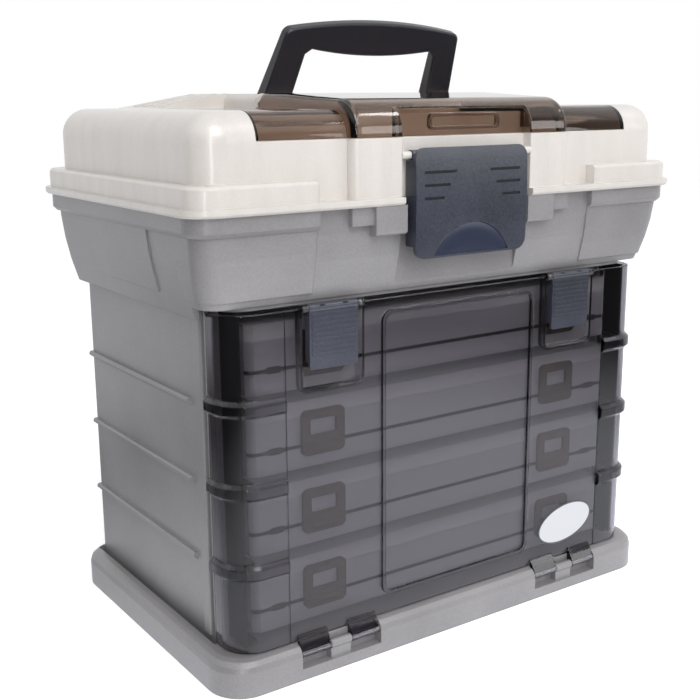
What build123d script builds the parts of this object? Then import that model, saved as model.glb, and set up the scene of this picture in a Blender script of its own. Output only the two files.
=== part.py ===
"""A tackle box: four utility trays in a cabinet under a tub with a hinged lid.

Millimetres. +X is to the right seen from the front, the front faces -Y and +Z is up. The origin is
the centre of the underside of the plinth.
"""
from build123d import *
import os
from math import cos, radians, sin

# Running fits and clearances
pin_fit = 0.06
running_gap = 0.4
door_gap = 0.5
seat_gap = 0.1

# Share of a banded round by which its upright corners tighten
corner_share = 0.6

# Plinth that everything stands on
plinth_width = 430.0
plinth_depth = 274.0
plinth_height = 27.0
plinth_corner = 28.0
plinth_round = 8.0
plinth_deck = 4.0
plinth_front_rail = 24.0
plinth_rib = 2.4
plinth_cells_x = 9
plinth_cells_y = 3
plinth_cell_x = 43.0
plinth_cell_y = 76.6
cabinet_seat_depth = 7.0
cabinet_seat_margin = 5.0

# Cabinet that holds the trays
cabinet_width = 395.0
cabinet_rear = 125.5
cabinet_front = -95.0
cabinet_wall = 3.0
cabinet_corner = 3.0
cabinet_top = 280.0
cabinet_deck = 3.0
column_depth = 22.0
column_width = 12.0
column_bead_depth = 11.0
column_bead_proud = 2.0
column_groove = 3.0
header_inset = 10.0
header_corner = 21.0
side_rib_height = 4.5
side_rib_proud = 3.6
side_rib_edge = 1.2
side_rib_slope = 2.4
side_rib_setback = 9.0
side_rib_drop = 3.0

# Trays, the standard utility box size
tray_count = 4
tray_pitch = 60.0
tray_width = 356.0
tray_depth = 232.0
tray_height = 51.0
tray_front = -113.0
tray_corner = 5.0
tray_wall = 1.8
tray_floor = 2.0
tray_rows = 3
tray_rib = 1.6
tray_lid_height = 12.0
tray_lid_top = 2.0
tray_lid_overlap = 5.0
tray_lid_panel_margin = 16.0
tray_lid_panel_depth = 0.8
first_tray_z = 35.0
divider_thickness = 1.4
divider_drop = 3.0
divider_places = (-92.0, 58.0)
clasp_width = 37.0
clasp_height = 34.0
clasp_thickness = 2.6
clasp_place = 118.0
clasp_low = 9.0
clasp_hook = 1.6
clasp_corner = 3.0
clasp_window_margin = 7.0
clasp_window_low = 15.0
clasp_grip_low = 1.5

# Racks that the trays slide on
rack_plate = 2.4
rack_ledge_width = 24.0
rack_guide_height = 14.0
rack_ledge_height = 3.0
rack_rear_gap = 1.0
cheek_half_width = 190.0
cheek_thickness = 2.5
cheek_reach = 25.0
cheek_low = 31.0
cheek_top_gap = 4.0
cheek_rib_depth = 8.0
cheek_rib_height = 2.5

# Tub above the cabinet
tub_height = 63.5
bead_width = 461.5
bead_depth = 278.8
bead_centre_y = -1.0
bead_height = 5.5
bead_corner = 22.0
bead_round = 1.6
tub_rim_inset = 9.5
tub_wall_sweep = 207.0
tub_bands = 4
tub_skirt_drop = 9.0
tub_skirt_front = -97.0
tub_rear_gap = 0.4
tub_wall = 3.0
tub_floor = 4.0
tub_corner = 14.5
band_height = 13.5
band_inset = 4.5
band_corner = 19.0
band_round = 3.0
band_front_gap = 131.0
tongue_height = 3.4
tongue_wall = 1.8
facet_front = -52.0
facet_rear = 44.0
facet_proud = 1.2
facet_low = 5.0
facet_corner_rear = -92.0
boss_inner = 58.5
boss_outer = 86.0
boss_height = 21.0
boss_inset = 1.9
boss_round = 3.0
boss_step_outer = 104.5
boss_step_height = 13.0
boss_step_inset = 3.0
keeper_drop = 7.0
keeper_half_width = 22.0
keeper_height = 6.0
keeper_inset = 7.4
tub_recess_inset = 17.9

# Lid
lid_height = 67.0
lid_wall = 2.6
lid_wall_inset = 13.0
lid_corner = 21.0
lid_shoulder = 20.5
skirt_height = 14.5
skirt_inset = 4.0
skirt_corner = 18.0
skirt_round = 2.0
skirt_front_gap = 132.0
crest_rise = 11.0
crest_half_width = 103.0
crest_front_inset = 4.4
crest_rear_inset = 15.9
crest_side_round = 6.5
crest_front_round = 24.0
crest_slope_start = -40.0
crest_slope_drop = 4.0
ramp_outer = 163.0
ramp_front = 48.0
ramp_rib_count = 4
ramp_rib_width = 3.0
ramp_rib_height = 1.2
ramp_rib_inset = 6.0

# Top access cover in the lid
cover_half_width = 174.5
cover_drop = 19.5
cover_rear = -3.0
cover_thickness = 2.4
cover_gap = 0.4
cover_hinge_y = -6.2
cover_hinge_drop = 3.1
cover_knuckle_radius = 3.2
cover_pin_radius = 1.25
cover_hinge_half = 66.0
cover_knuckle_half = 45.0
tab_width = 67.0
tab_height = 11.5
tab_rim = 2.2
tab_proud = 3.0
tab_rise = 9.8

# Pan that closes the lid compartment from below
pan_depth = 38.5
pan_wall = 2.0
pan_side_gap = 0.3
pan_rear_gap = 0.6
pan_top_gap = 3.0

# Handle
handle_pivot_y = 14.5
handle_pivot_drop = 5.5
handle_lean = 27.0
handle_base_half = 97.0
handle_top_half = 84.5
handle_shoulder = 73.0
handle_crown = 80.5
handle_inner_base_half = 70.5
handle_inner_top_half = 63.0
handle_inner_top = 58.5
handle_belly = 53.0
handle_toe_depth = 14.0
handle_crown_depth = 8.0
handle_corner = 7.0
handle_inner_corner = 5.0
handle_edge = 1.4
handle_toe = 8.0
handle_pin_radius = 3.0
handle_pin_length = 18.0
handle_pin_end = 105.0
well_half_width = 99.2
well_front = -1.0
well_rear_inset = 24.0
well_depth = 16.5
well_boss_radius = 6.0

# Main latch
latch_half_width = 53.5
latch_rise = 39.5
latch_height = 79.5
latch_face_proud = 0.1
latch_thickness = 3.0
latch_belly = 1.5
latch_trim = 2.0
latch_corner = 9.0
latch_axis_inset = 6.0
latch_axis_drop = 5.0
latch_ear_radius = 2.8
latch_knuckle_radius = 3.6
latch_pin_radius = 1.5
latch_flange = 2.0
latch_flange_depth = 8.0
latch_lug_half = 16.0
latch_recess_half = 61.5
latch_recess_inset = 12.4
latch_lug_gap = 0.4
latch_scoop_half = 36.0
latch_scoop_height = 23.0
latch_scoop_depth = 0.6
latch_scoop_foot = 1.5
latch_groove_depth = 0.8
latch_groove_height = 2.2
latch_groove_pitch = 9.3
latch_groove_count = 3
latch_groove_outer = 46.0
latch_groove_length = 30.0
latch_groove_step = 6.0
latch_groove_drop = 17.5

# Door
door_half_width = 201.0
door_inset = 8.0
door_thickness = 2.6
door_bottom = 28.0
door_top_gap = 4.0
door_corner = 24.0
door_hinge_inset = 4.0
door_hinge_z = 20.0
door_knuckle_radius = 3.4
door_pin_radius = 1.5
door_rib_z = 90.0
door_rib_half_height = 6.0
door_rib_proud = 3.6
door_rib_inner = 158.3
door_rib_count = 3
door_rib_groove = 1.2
door_rib_groove_depth = 0.8
window_half_width = 75.2
window_low = 15.4
window_high = 8.6
window_corner = 9.0
window_rim = 3.0
window_proud = 2.2
hinge_place = 116.5
hinge_half_width = 35.5
hinge_knuckle_gap = 0.5
hinge_middle_half = 9.0
hinge_notch_low = 9.0
hinge_web = 3.0

# Door latches
flap_place = 117.0
flap_half_width = 20.5
flap_length = 44.0
flap_face_proud = 1.0
flap_thickness = 2.4
flap_corner = 2.5
flap_axis_depth = 1.4
flap_axis_drop = 0.5
flap_flange = 1.6
flap_knuckle_radius = 3.2
flap_pin_radius = 1.25
flap_ear_width = 4.0
flap_rib_count = 9
flap_rib_pitch = 3.6
flap_rib_height = 1.6
flap_rib_proud = 0.6
flap_rib_margin = 2.0
flap_pocket_margin = 1.0
flap_pocket_drop = 15.0
flap_pocket_depth = 5.5
flap_pocket_corner = 5.0
flap_pocket_wall = 2.0

# Lid hinge at the rear
lid_hinge_reach = 5.6
lid_hinge_rise = 3.0
lid_knuckle_radius = 4.4
lid_pin_radius = 2.0
lid_hinge_places = (-130.0, 130.0)
lid_knuckle_length = 16.0
lid_knuckle_gap = 0.5


def block(x_range, y_range, z_range):
    """A box from its three ranges."""
    size = [high - low for low, high in (x_range, y_range, z_range)]
    middle = [(high + low) / 2 for low, high in (x_range, y_range, z_range)]
    return Pos(*middle) * Box(*size)


def cut_plan(width, depth, corner, bottom, top, centre_y=0.0):
    """An upright prism with a rectangular plan whose corners are cut off."""
    body = extrude(Pos(0, centre_y, bottom) * Rectangle(width, depth), top - bottom)
    return chamfer(body.edges().filter_by(Axis.Z), corner)


def plan(width, depth, corner, bottom, top, centre_y=0.0):
    """An upright prism with a rounded rectangular plan."""
    outline = Pos(0, centre_y, bottom) * RectangleRounded(width, depth, corner)
    return extrude(outline, top - bottom)


def banded(width, depth, corner, foot, edge, size, centre_y=0.0, bands=3):
    """An upright rounded prism from foot to edge, whose end at the edge is rounded in a few flat bands.

    The edge may lie above or below the foot, so the same form serves a rounded top and a rounded bottom.
    """
    way = 1 if edge > foot else -1
    outlines = [Pos(0, centre_y, foot) * RectangleRounded(width, depth, corner)]
    for step in range(bands + 1):
        angle = radians(90 * step / bands)
        inset = size * (1 - cos(angle))
        height = edge - way * size * (1 - sin(angle))
        outline = RectangleRounded(width - 2 * inset, depth - 2 * inset, corner - inset * corner_share)
        outlines.append(Pos(0, centre_y, height) * outline)
    return loft(outlines if way > 0 else outlines[::-1], ruled=True)


def rod(x_range, y, z, radius):
    """A round bar along X."""
    length = x_range[1] - x_range[0]
    middle = (x_range[0] + x_range[1]) / 2
    return Pos(middle, y, z) * Rot(0, 90, 0) * Cylinder(radius, length)


def side_prism(points, x_range):
    """A prism along X over an outline of (y, z) points."""
    outline = Polyline(*[(x_range[0], y, z) for y, z in points], close=True)
    return extrude(make_face(outline), x_range[1] - x_range[0], dir=(1, 0, 0))


def both_sides(shape):
    """The shape and its mirror image across the middle of the box."""
    return shape + mirror(shape, about=Plane.YZ)


def solids_of(*groups):
    """One compound of separate solids, each kept as it is."""
    found = []
    for group in groups:
        found.extend(group.solids())
    return Compound(found)


def top_edges(shape):
    """The edges of the highest face of a shape."""
    return shape.faces().sort_by(Axis.Z)[-1].edges()


# Heights and faces that several pieces share
plinth_front = -plinth_depth / 2
door_front = plinth_front + door_inset
door_top = cabinet_top - door_top_gap
door_hinge_y = plinth_front + door_hinge_inset
window_bottom = door_bottom + window_low
window_top = door_top - window_high
flap_face_y = door_front - flap_face_proud
flap_axis_y = door_front + flap_axis_depth
flap_axis_z = door_top - flap_axis_drop
flap_bottom_z = flap_axis_z - flap_length
header_front = door_front + header_inset
cabinet_floor_z = plinth_height - cabinet_seat_depth
cabinet_half = cabinet_width / 2
cabinet_inner = cabinet_half - cabinet_wall
bead_front = bead_centre_y - bead_depth / 2
bead_rear = bead_centre_y + bead_depth / 2
rim_z = cabinet_top + tub_height
tub_skirt_bottom = cabinet_top - tub_skirt_drop
tub_rear_bottom = cabinet_rear + tub_rear_gap + tub_wall
boss_front = bead_front + boss_inset
keeper_front = bead_front + keeper_inset
keeper_z = rim_z - keeper_drop
tub_recess_floor = bead_front + tub_recess_inset
tub_inner_bottom = cabinet_top + tub_floor
lid_front = bead_front + lid_wall_inset
lid_rear = bead_rear - lid_wall_inset
lid_half = bead_width / 2 - lid_wall_inset
lid_top = rim_z + lid_height
crest_top = lid_top + crest_rise
crest_front = bead_front + crest_front_inset
crest_rear = bead_rear - crest_rear_inset
crest_slope_end_z = crest_top - crest_slope_drop
cover_lower_z = lid_top - cover_drop
cover_hinge_z = crest_top - cover_hinge_drop
tab_centre_z = cover_lower_z + tab_rise
pan_floor_z = lid_top - pan_depth
handle_pivot_z = lid_top - handle_pivot_drop
well_rear = crest_rear - well_rear_inset
well_floor_z = lid_top - well_depth
latch_top_z = rim_z + latch_rise
latch_bottom_z = latch_top_z - latch_height
latch_face_y = bead_front - latch_face_proud
latch_axis_y = bead_front + latch_axis_inset
latch_axis_z = latch_top_z - latch_axis_drop
latch_groove_top_z = latch_top_z - latch_groove_drop
latch_recess_floor = bead_front + latch_recess_inset
lid_hinge_y = bead_rear + lid_hinge_reach
lid_hinge_z = rim_z + lid_hinge_rise
lid_base_z = rim_z + seat_gap
skirt_bottom = lid_base_z + bead_height
skirt_top = skirt_bottom + skirt_height
side_rib_levels = [first_tray_z + tray_height - side_rib_drop + tray_pitch * k
                   for k in range(tray_count - 1)]


def base_plinth():
    """The plinth: a rounded slab with a ribbed underside, a seat for the cabinet and hinge notches."""
    body = banded(plinth_width, plinth_depth, plinth_corner, 0, plinth_height, plinth_round)
    seat_half = cabinet_half + cabinet_seat_margin
    seat_front = cabinet_front - door_gap
    body -= block((-seat_half, seat_half), (seat_front, cabinet_rear + cabinet_seat_margin / 2),
                  (cabinet_floor_z, plinth_height + 1))
    pocket_top = cabinet_floor_z - plinth_deck
    pocket = Box(plinth_cell_x - plinth_rib, plinth_cell_y - plinth_rib, pocket_top + 1)
    body -= [Pos(x, y, (pocket_top - 1) / 2) * pocket for x, y in plinth_cells()]
    for side in (-1, 1):
        body -= hinge_notch(side)
    for side in (-1, 1):
        body += plinth_knuckle(side)
    return body


def plinth_cells():
    """Middles of the pockets under the plinth, column by column."""
    return [(-plinth_cells_x * plinth_cell_x / 2 + plinth_cell_x * (column + 0.5),
             plinth_front + plinth_front_rail + plinth_cell_y * (row + 0.5))
            for column in range(plinth_cells_x) for row in range(plinth_cells_y)]


def hinge_notch(side):
    """The cut in the front rail of the plinth that holds one door hinge."""
    low = side * hinge_place - hinge_half_width
    high = side * hinge_place + hinge_half_width
    reach = door_knuckle_radius + 1.2
    cut = block((low, high), (plinth_front - 1, door_hinge_y + reach), (hinge_notch_low, plinth_height + 1))
    pin_space = rod((low - 4, high + 4), door_hinge_y, door_hinge_z, door_pin_radius)
    return cut + pin_space


def plinth_knuckle(side):
    """The middle knuckle of one door hinge, on a web that rises from the notch."""
    centre = side * hinge_place
    x_range = (centre - hinge_middle_half, centre + hinge_middle_half)
    web = block(x_range, (door_hinge_y - hinge_web / 2, door_hinge_y + door_knuckle_radius + 1.2),
                (hinge_notch_low, door_hinge_z))
    knuckle = web + rod(x_range, door_hinge_y, door_hinge_z, door_knuckle_radius)
    bore = rod((x_range[0] - 1, x_range[1] + 1), door_hinge_y, door_hinge_z, door_pin_radius)
    return knuckle - bore


def door_hinge_pins():
    """Two steel pins on which the door turns."""
    pins = []
    for side in (-1, 1):
        low = side * hinge_place - hinge_half_width - 4
        high = side * hinge_place + hinge_half_width + 4
        pins.append(rod((low, high), door_hinge_y, door_hinge_z, door_pin_radius))
    return solids_of(*pins)


def cabinet_shell():
    """The cabinet: floor, sides, back and deck in one moulding, open at the front."""
    depth = cabinet_rear - cabinet_front
    centre_y = (cabinet_rear + cabinet_front) / 2
    body = plan(cabinet_width, depth, cabinet_corner, cabinet_floor_z, cabinet_top, centre_y)
    body += block((-cabinet_half, cabinet_half), (cabinet_front, centre_y), (cabinet_floor_z, cabinet_top))
    bay = block((-cabinet_inner, cabinet_inner), (cabinet_front - 1, cabinet_rear - cabinet_wall),
                (cabinet_floor_z + cabinet_wall, cabinet_top - cabinet_deck))
    body -= bay
    column_rear = cabinet_front + column_depth
    column = block((cabinet_half - column_width, cabinet_half), (cabinet_front, column_rear),
                   (cabinet_floor_z + cabinet_wall, cabinet_top - cabinet_deck))
    bead = block((cabinet_half - 1, cabinet_half + column_bead_proud),
                 (column_rear - column_bead_depth, column_rear), (plinth_height + 1, cabinet_top))
    bead = fillet(bead.edges().filter_by(Axis.Z).group_by(Axis.X)[-1], column_bead_proud * 0.8)
    groove = block((cabinet_half - column_bead_proud, cabinet_half + 1),
                   (column_rear - column_bead_depth - column_groove, column_rear - column_bead_depth),
                   (plinth_height + 1, cabinet_top - cabinet_deck))
    body += both_sides(column + bead)
    body -= both_sides(groove)
    for level in side_rib_levels:
        body += both_sides(side_rib(level, column_rear))
    body += header()
    return body


def header():
    """The overhang of the deck in front of the trays."""
    body = plan(cabinet_width, 2 * (cabinet_front - header_front), header_corner, cabinet_top - cabinet_deck,
                cabinet_top, cabinet_front)
    return body - block((-cabinet_width, cabinet_width), (cabinet_front, cabinet_rear),
                        (cabinet_top - cabinet_deck - 1, cabinet_top + 1))


def side_rib(level, column_rear):
    """One outer rib of the right side wall, with a sloping underside."""
    outer = cabinet_half + side_rib_proud
    top = level + side_rib_height
    points = [(cabinet_half - 1, top), (outer - side_rib_edge, top), (outer, top - side_rib_edge),
              (outer, level + side_rib_edge), (cabinet_half - 1, level - side_rib_slope)]
    front = column_rear + side_rib_setback
    outline = Polyline(*[(x, front, z) for x, z in points], close=True)
    return extrude(make_face(outline), cabinet_rear - 2.0 - front, dir=(0, 1, 0))


def rack(side):
    """One side rack: an upright plate with a ledge under each tray."""
    outer = cabinet_inner
    inner = outer - rack_plate
    rear = cabinet_rear - cabinet_wall - rack_rear_gap
    front = cabinet_front + column_depth
    bottom = cabinet_floor_z + cabinet_wall
    top = cabinet_top - cabinet_deck
    body = block((inner, outer), (front, rear), (bottom, top))
    for k in range(tray_count):
        shelf = first_tray_z + tray_pitch * k
        body += block((inner - rack_ledge_width, inner + 0.5), (front, rear),
                      (shelf - rack_ledge_height, shelf))
        body += block((tray_width / 2 + running_gap, inner + 0.5), (front, rear),
                      (shelf - 0.5, shelf + rack_guide_height))
    body = solids_of(body, rack_cheek())
    return body if side > 0 else mirror(body, about=Plane.YZ)


def rack_cheek():
    """The upright cheek in front of the right column, with a rail between one tray and the next."""
    outer = cheek_half_width
    front = cabinet_front - cheek_reach
    body = block((outer - cheek_thickness, outer), (front, cabinet_front),
                 (cheek_low, cabinet_top - cheek_top_gap))
    for k in range(tray_count):
        low = tray_origin(k) - rack_ledge_height
        body += block((outer - cheek_thickness - cheek_rib_depth, outer - cheek_thickness + 0.5),
                      (front + 1, cabinet_front), (low, low + cheek_rib_height))
    return body


def tray_origin(k):
    """The height of the underside of tray k."""
    return first_tray_z + tray_pitch * k


def tray_base(k):
    """The lower half of one tray, with fixed lengthwise walls."""
    z = tray_origin(k)
    centre_y = tray_front + tray_depth / 2
    top = z + tray_height - tray_lid_height + tray_lid_overlap
    split = z + tray_height - tray_lid_height
    inset = 2 * (tray_wall + running_gap / 2)
    body = cut_plan(tray_width, tray_depth, tray_corner, z, split, centre_y)
    body += cut_plan(tray_width - inset, tray_depth - inset, tray_corner - inset / 2, z, top, centre_y)
    row = row_depth()
    for n in range(tray_rows):
        low = row_low(n)
        body -= block((-tray_width / 2 + inset / 2 + tray_wall, tray_width / 2 - inset / 2 - tray_wall),
                      (low, low + row), (z + tray_floor, top + 1))
    return body


def row_depth():
    """The clear depth of one row of a tray."""
    clear = tray_depth - 2 * (2 * tray_wall + running_gap / 2) - (tray_rows - 1) * tray_rib
    return clear / tray_rows


def row_low(n):
    """The front face of row n of a tray."""
    return tray_front + 2 * tray_wall + running_gap / 2 + n * (row_depth() + tray_rib)


def tray_dividers(k):
    """The loose cross dividers that stand in the rows of one tray."""
    z = tray_origin(k) + tray_floor
    height = tray_height - tray_lid_height + tray_lid_overlap - tray_floor - divider_drop
    plates = []
    for n in range(tray_rows):
        low = row_low(n) + running_gap / 2
        high = low + row_depth() - running_gap
        for place in divider_places:
            x = place + 24.0 * n * (1 if place < 0 else -1)
            plates.append(block((x, x + divider_thickness), (low, high), (z, z + height)))
    return solids_of(*plates)


def tray_lid(k):
    """The clear lid of one tray, with a skirt that closes over the base."""
    z = tray_origin(k)
    centre_y = tray_front + tray_depth / 2
    split = z + tray_height - tray_lid_height
    top = z + tray_height
    body = cut_plan(tray_width, tray_depth, tray_corner, split, top, centre_y)
    hollow = 2 * tray_wall
    body -= cut_plan(tray_width - hollow, tray_depth - hollow, tray_corner - tray_wall, split - 1,
                     top - tray_lid_top, centre_y)
    margin = 2 * tray_lid_panel_margin
    body -= cut_plan(tray_width - margin, tray_depth - margin, tray_corner, top - tray_lid_panel_depth,
                     top + 1, centre_y)
    return body


def tray_clasps(k):
    """The two front clasps of one tray."""
    z = tray_origin(k) + clasp_low
    clasps = []
    for side in (-1, 1):
        x = side * clasp_place
        front = tray_front - clasp_thickness
        plate = block((x - clasp_width / 2, x + clasp_width / 2), (front, tray_front), (z, z + clasp_height))
        plate = chamfer(plate.edges().filter_by(Axis.Y), clasp_corner)
        window = clasp_width / 2 - clasp_window_margin
        plate -= block((x - window, x + window), (front - 1, tray_front + 1),
                       (z + clasp_window_low, z + clasp_height - clasp_window_margin))
        grip = block((x - window, x + window), (front - clasp_hook, front + 0.2),
                     (z + clasp_grip_low, z + clasp_grip_low + clasp_hook))
        clasps.append(plate + grip)
    return solids_of(*clasps)


def tub_inset(height):
    """How far the bowed wall of the tub stands in from the bead at a height."""
    return tub_rim_inset + (rim_z - height) ** 2 / (2 * tub_wall_sweep)


def tub_outline(height, draw_in):
    """The plan of the tub at a height, drawn in by a further inset."""
    inset = tub_inset(height) + draw_in
    share = (height - tub_skirt_bottom) / (rim_z - tub_skirt_bottom)
    front = bead_front + inset
    rear = tub_rear_bottom + (bead_rear - tub_rim_inset - tub_rear_bottom) * share - draw_in
    outline = RectangleRounded(bead_width - 2 * inset, rear - front, tub_corner - draw_in)
    return Pos(0, (front + rear) / 2, height) * outline


def tub_loft(bottom, draw_in=0.0):
    """The form of the tub from a height up to the rim, its bowed walls in a few bands."""
    steps = [bottom + (rim_z - bottom) * n / tub_bands for n in range(tub_bands + 1)]
    return loft([tub_outline(height, draw_in) for height in steps], ruled=True)


def upper_tub():
    """The tub: bowed walls, a skirt round the cabinet, a band under the rim, a tongue and latch bosses."""
    body = tub_loft(tub_skirt_bottom)
    body += tub_facets() + tub_band()
    width, depth, corner = tongue_outline(0)
    body += plan(width, depth, corner, rim_z - 1, rim_z + tongue_height, bead_centre_y)
    wall = tub_wall
    cavity = tub_loft(tub_inner_bottom, wall)
    mouth = tub_rim_inset + wall
    cavity += plan(bead_width - 2 * mouth, bead_depth - 2 * mouth, tub_corner - wall, rim_z,
                   rim_z + tongue_height + 1, bead_centre_y)
    recess_half = boss_inner - running_gap
    recess_top = rim_z + tongue_height + 1
    cavity -= block((-recess_half - wall, recess_half + wall), (bead_front, tub_recess_floor + wall),
                    (cabinet_top, recess_top))
    body -= cavity
    body -= cabinet_space()
    body -= block((-recess_half, recess_half), (bead_front - 1, tub_recess_floor),
                  (tub_inner_bottom, recess_top))
    body += tub_front_details()
    for place in lid_hinge_places:
        body += tub_knuckles(place)
    return body


def cabinet_space():
    """The space under the floor of the tub that the top of the cabinet and the door reach into."""
    half = bead_width / 2 - tub_inset(tub_skirt_bottom) - tub_wall
    rear = tub_rear_bottom - tub_wall
    front = bead_front - tub_corner
    body = plan(2 * half, rear - front, tub_corner - tub_wall, tub_skirt_bottom - 1, cabinet_top,
                (rear + front) / 2)
    return body + block((-bead_width, bead_width), (front, tub_skirt_front),
                        (tub_skirt_bottom - 1, cabinet_top))


def tub_facets():
    """Slightly proud panels on the tub's side walls and round its front corners."""
    proud = tub_loft(cabinet_top + facet_low, -facet_proud)
    proud -= block((-bead_width, bead_width), (bead_front - 5, bead_rear + 5), (rim_z - 1, rim_z + 1))
    middle = block((-bead_width, bead_width), (facet_front, facet_rear), (cabinet_top, rim_z))
    corner = block((band_front_gap, bead_width), (bead_front - 5, facet_corner_rear), (cabinet_top, rim_z))
    return proud & (middle + both_sides(corner))


def tub_band():
    """The band under the rim, open in the middle of the front."""
    band = plan(bead_width - 2 * band_inset, bead_depth - 2 * band_inset, band_corner,
                rim_z - band_height, rim_z, bead_centre_y)
    lower = band.faces().sort_by(Axis.Z)[0]
    band = chamfer(lower.edges(), band_round)
    gap_depth = tub_inset(rim_z - band_height) - band_inset
    front = bead_front + band_inset
    band -= block((-band_front_gap, band_front_gap), (front - 1, front + gap_depth + 1),
                  (rim_z - band_height - 1, rim_z + 1))
    return band


def tub_front_details():
    """The bosses beside the latch, their outer steps and the keeper bar between them."""
    back = bead_front + tub_inset(rim_z - boss_height) + tub_wall / 2
    recess_back = tub_recess_floor + tub_wall / 2
    boss = block((boss_inner, boss_outer), (boss_front, back), (rim_z - boss_height, rim_z))
    boss = fillet(boss.edges().filter_by(Axis.X).group_by(Axis.Y)[0].group_by(Axis.Z)[0], boss_round)
    step = block((boss_outer - 1, boss_step_outer), (boss_front + boss_step_inset, back),
                 (rim_z - boss_step_height, rim_z))
    keeper = block((-keeper_half_width, keeper_half_width), (keeper_front, recess_back),
                   (keeper_z - keeper_height / 2, keeper_z + keeper_height / 2))
    return both_sides(boss + step) + keeper


def tub_knuckles(place):
    """The two outer knuckles of one lid hinge on the back of the tub."""
    reach = lid_knuckle_length * 1.5 + lid_knuckle_gap
    body = None
    for side in (-1, 1):
        inner = place + side * (lid_knuckle_length / 2 + lid_knuckle_gap)
        outer = place + side * reach
        x_range = (min(inner, outer), max(inner, outer))
        web = side_prism([(bead_rear - band_inset - 1, rim_z),
                          (lid_hinge_y + lid_knuckle_radius, lid_hinge_z),
                          (lid_hinge_y + 2.0, lid_hinge_z - lid_knuckle_radius),
                          (bead_rear - band_inset - 1, rim_z - band_height + 4)], x_range)
        web -= block(x_range, (bead_rear - band_inset - 2, lid_hinge_y + 10), (rim_z, rim_z + 20))
        knuckle = web + rod(x_range, lid_hinge_y, lid_hinge_z, lid_knuckle_radius)
        knuckle -= rod((x_range[0] - 1, x_range[1] + 1), lid_hinge_y, lid_hinge_z, lid_pin_radius)
        body = knuckle if body is None else body + knuckle
    return body


def lid_hinge_pins():
    """The two steel pins of the lid hinge."""
    reach = lid_knuckle_length * 1.5 + lid_knuckle_gap
    pins = [rod((place - reach, place + reach), lid_hinge_y, lid_hinge_z, lid_pin_radius)
            for place in lid_hinge_places]
    return solids_of(*pins)


def lid_knuckle(place):
    """The middle knuckle of one lid hinge, on a web from the skirt."""
    x_range = (place - lid_knuckle_length / 2, place + lid_knuckle_length / 2)
    web = side_prism([(bead_rear - skirt_inset - 2, skirt_bottom), (lid_hinge_y + 2.0, lid_hinge_z),
                      (lid_hinge_y + 2.0, lid_hinge_z + lid_knuckle_radius - 1.0),
                      (bead_rear - skirt_inset - 2, skirt_bottom + 8)], x_range)
    knuckle = web + rod(x_range, lid_hinge_y, lid_hinge_z, lid_knuckle_radius)
    return knuckle - rod((x_range[0] - 1, x_range[1] + 1), lid_hinge_y, lid_hinge_z, lid_pin_radius + pin_fit)


def crown(inset, bottom):
    """The main form of the upper lid, a rounded box, drawn in by the inset."""
    width = 2 * (lid_half - inset)
    depth = lid_rear - lid_front - 2 * inset
    if inset > 0:
        return banded(width, depth, lid_corner - inset, bottom, lid_top - inset, lid_shoulder - inset,
                      bead_centre_y)
    body = plan(width, depth, lid_corner, bottom, lid_top, bead_centre_y)
    return fillet(top_edges(body), lid_shoulder)


def crest_profile(inset, bottom):
    """The (y, z) outline of the raised middle of the lid, as a face at x = 0."""
    front = crest_front + inset
    rear = crest_rear - inset
    high = crest_top - inset
    low = crest_slope_end_z - inset
    turn = crest_front_round - inset
    wall = Line((0, front, bottom), (0, front, low - turn))
    arc = TangentArc((0, front, low - turn), (0, front + turn * 0.9, low), tangent=(0, 0, 1))
    slope = Line((0, front + turn * 0.9, low), (0, crest_slope_start, high))
    roof = Line((0, crest_slope_start, high), (0, rear, high))
    back = Polyline((0, rear, high), (0, rear, bottom), (0, front, bottom))
    return make_face(wall + arc + slope + roof + back)


def crest(inset, bottom):
    """The raised middle of the lid, drawn in by the inset."""
    half = crest_half_width - 2 * inset
    return extrude(Pos(-half, 0, 0) * crest_profile(inset, bottom), 2 * half, dir=(1, 0, 0))


def rounded_crest(bottom):
    """The outside of the raised middle, with its two upper sides rounded."""
    body = crest(0, bottom)
    side_edges = [edge for edge in body.edges() if is_crest_side(edge)]
    return fillet(side_edges, crest_side_round)


def is_crest_side(edge):
    """Whether an edge of the raised middle runs along one of its two upper sides."""
    centre = edge.center()
    on_side = abs(abs(centre.X) - crest_half_width) < 0.01
    upright_rear = abs(centre.Y - crest_rear) < 0.01
    return on_side and not upright_rear and centre.Z > lid_base_z + 5


def lid_form(inset, bottom):
    """The closed form of the upper lid, drawn in by the inset."""
    middle = rounded_crest(bottom) if inset == 0 else crest(inset, bottom)
    return crown(inset, bottom) + middle


def ramp():
    """One ribbed ramp from the shoulder of the lid up to the rear of the raised middle."""
    inner = crest_half_width - crest_side_round
    foot = lid_top - lid_wall
    crest_edge = crest_top - 1.0
    slope = (crest_edge - lid_top) / (ramp_outer - crest_half_width)
    wedge = [(inner, foot), (ramp_outer, foot), (ramp_outer, lid_top), (crest_half_width, crest_edge),
             (inner, crest_edge)]
    body = ramp_slice(wedge, ramp_front, crest_rear - ramp_front)
    toe = ramp_outer - ramp_rib_inset
    toe_z = lid_top + slope * ramp_rib_inset
    rib = [(crest_half_width - 3, lid_top), (toe, lid_top), (toe, toe_z + ramp_rib_height * 0.2),
           (toe - 3, toe_z + slope * 3 + ramp_rib_height), (crest_half_width, crest_edge + ramp_rib_height),
           (crest_half_width - 3, crest_edge + ramp_rib_height)]
    pitch = (crest_rear - ramp_front) / ramp_rib_count
    for n in range(ramp_rib_count):
        body += ramp_slice(rib, ramp_front + pitch * n, ramp_rib_width)
    return body


def ramp_slice(outline, front, depth):
    """A prism along Y over an outline of (x, z) points."""
    face = make_face(Polyline(*[(x, front, z) for x, z in outline], close=True))
    return extrude(face, depth, dir=(0, 1, 0))


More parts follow.
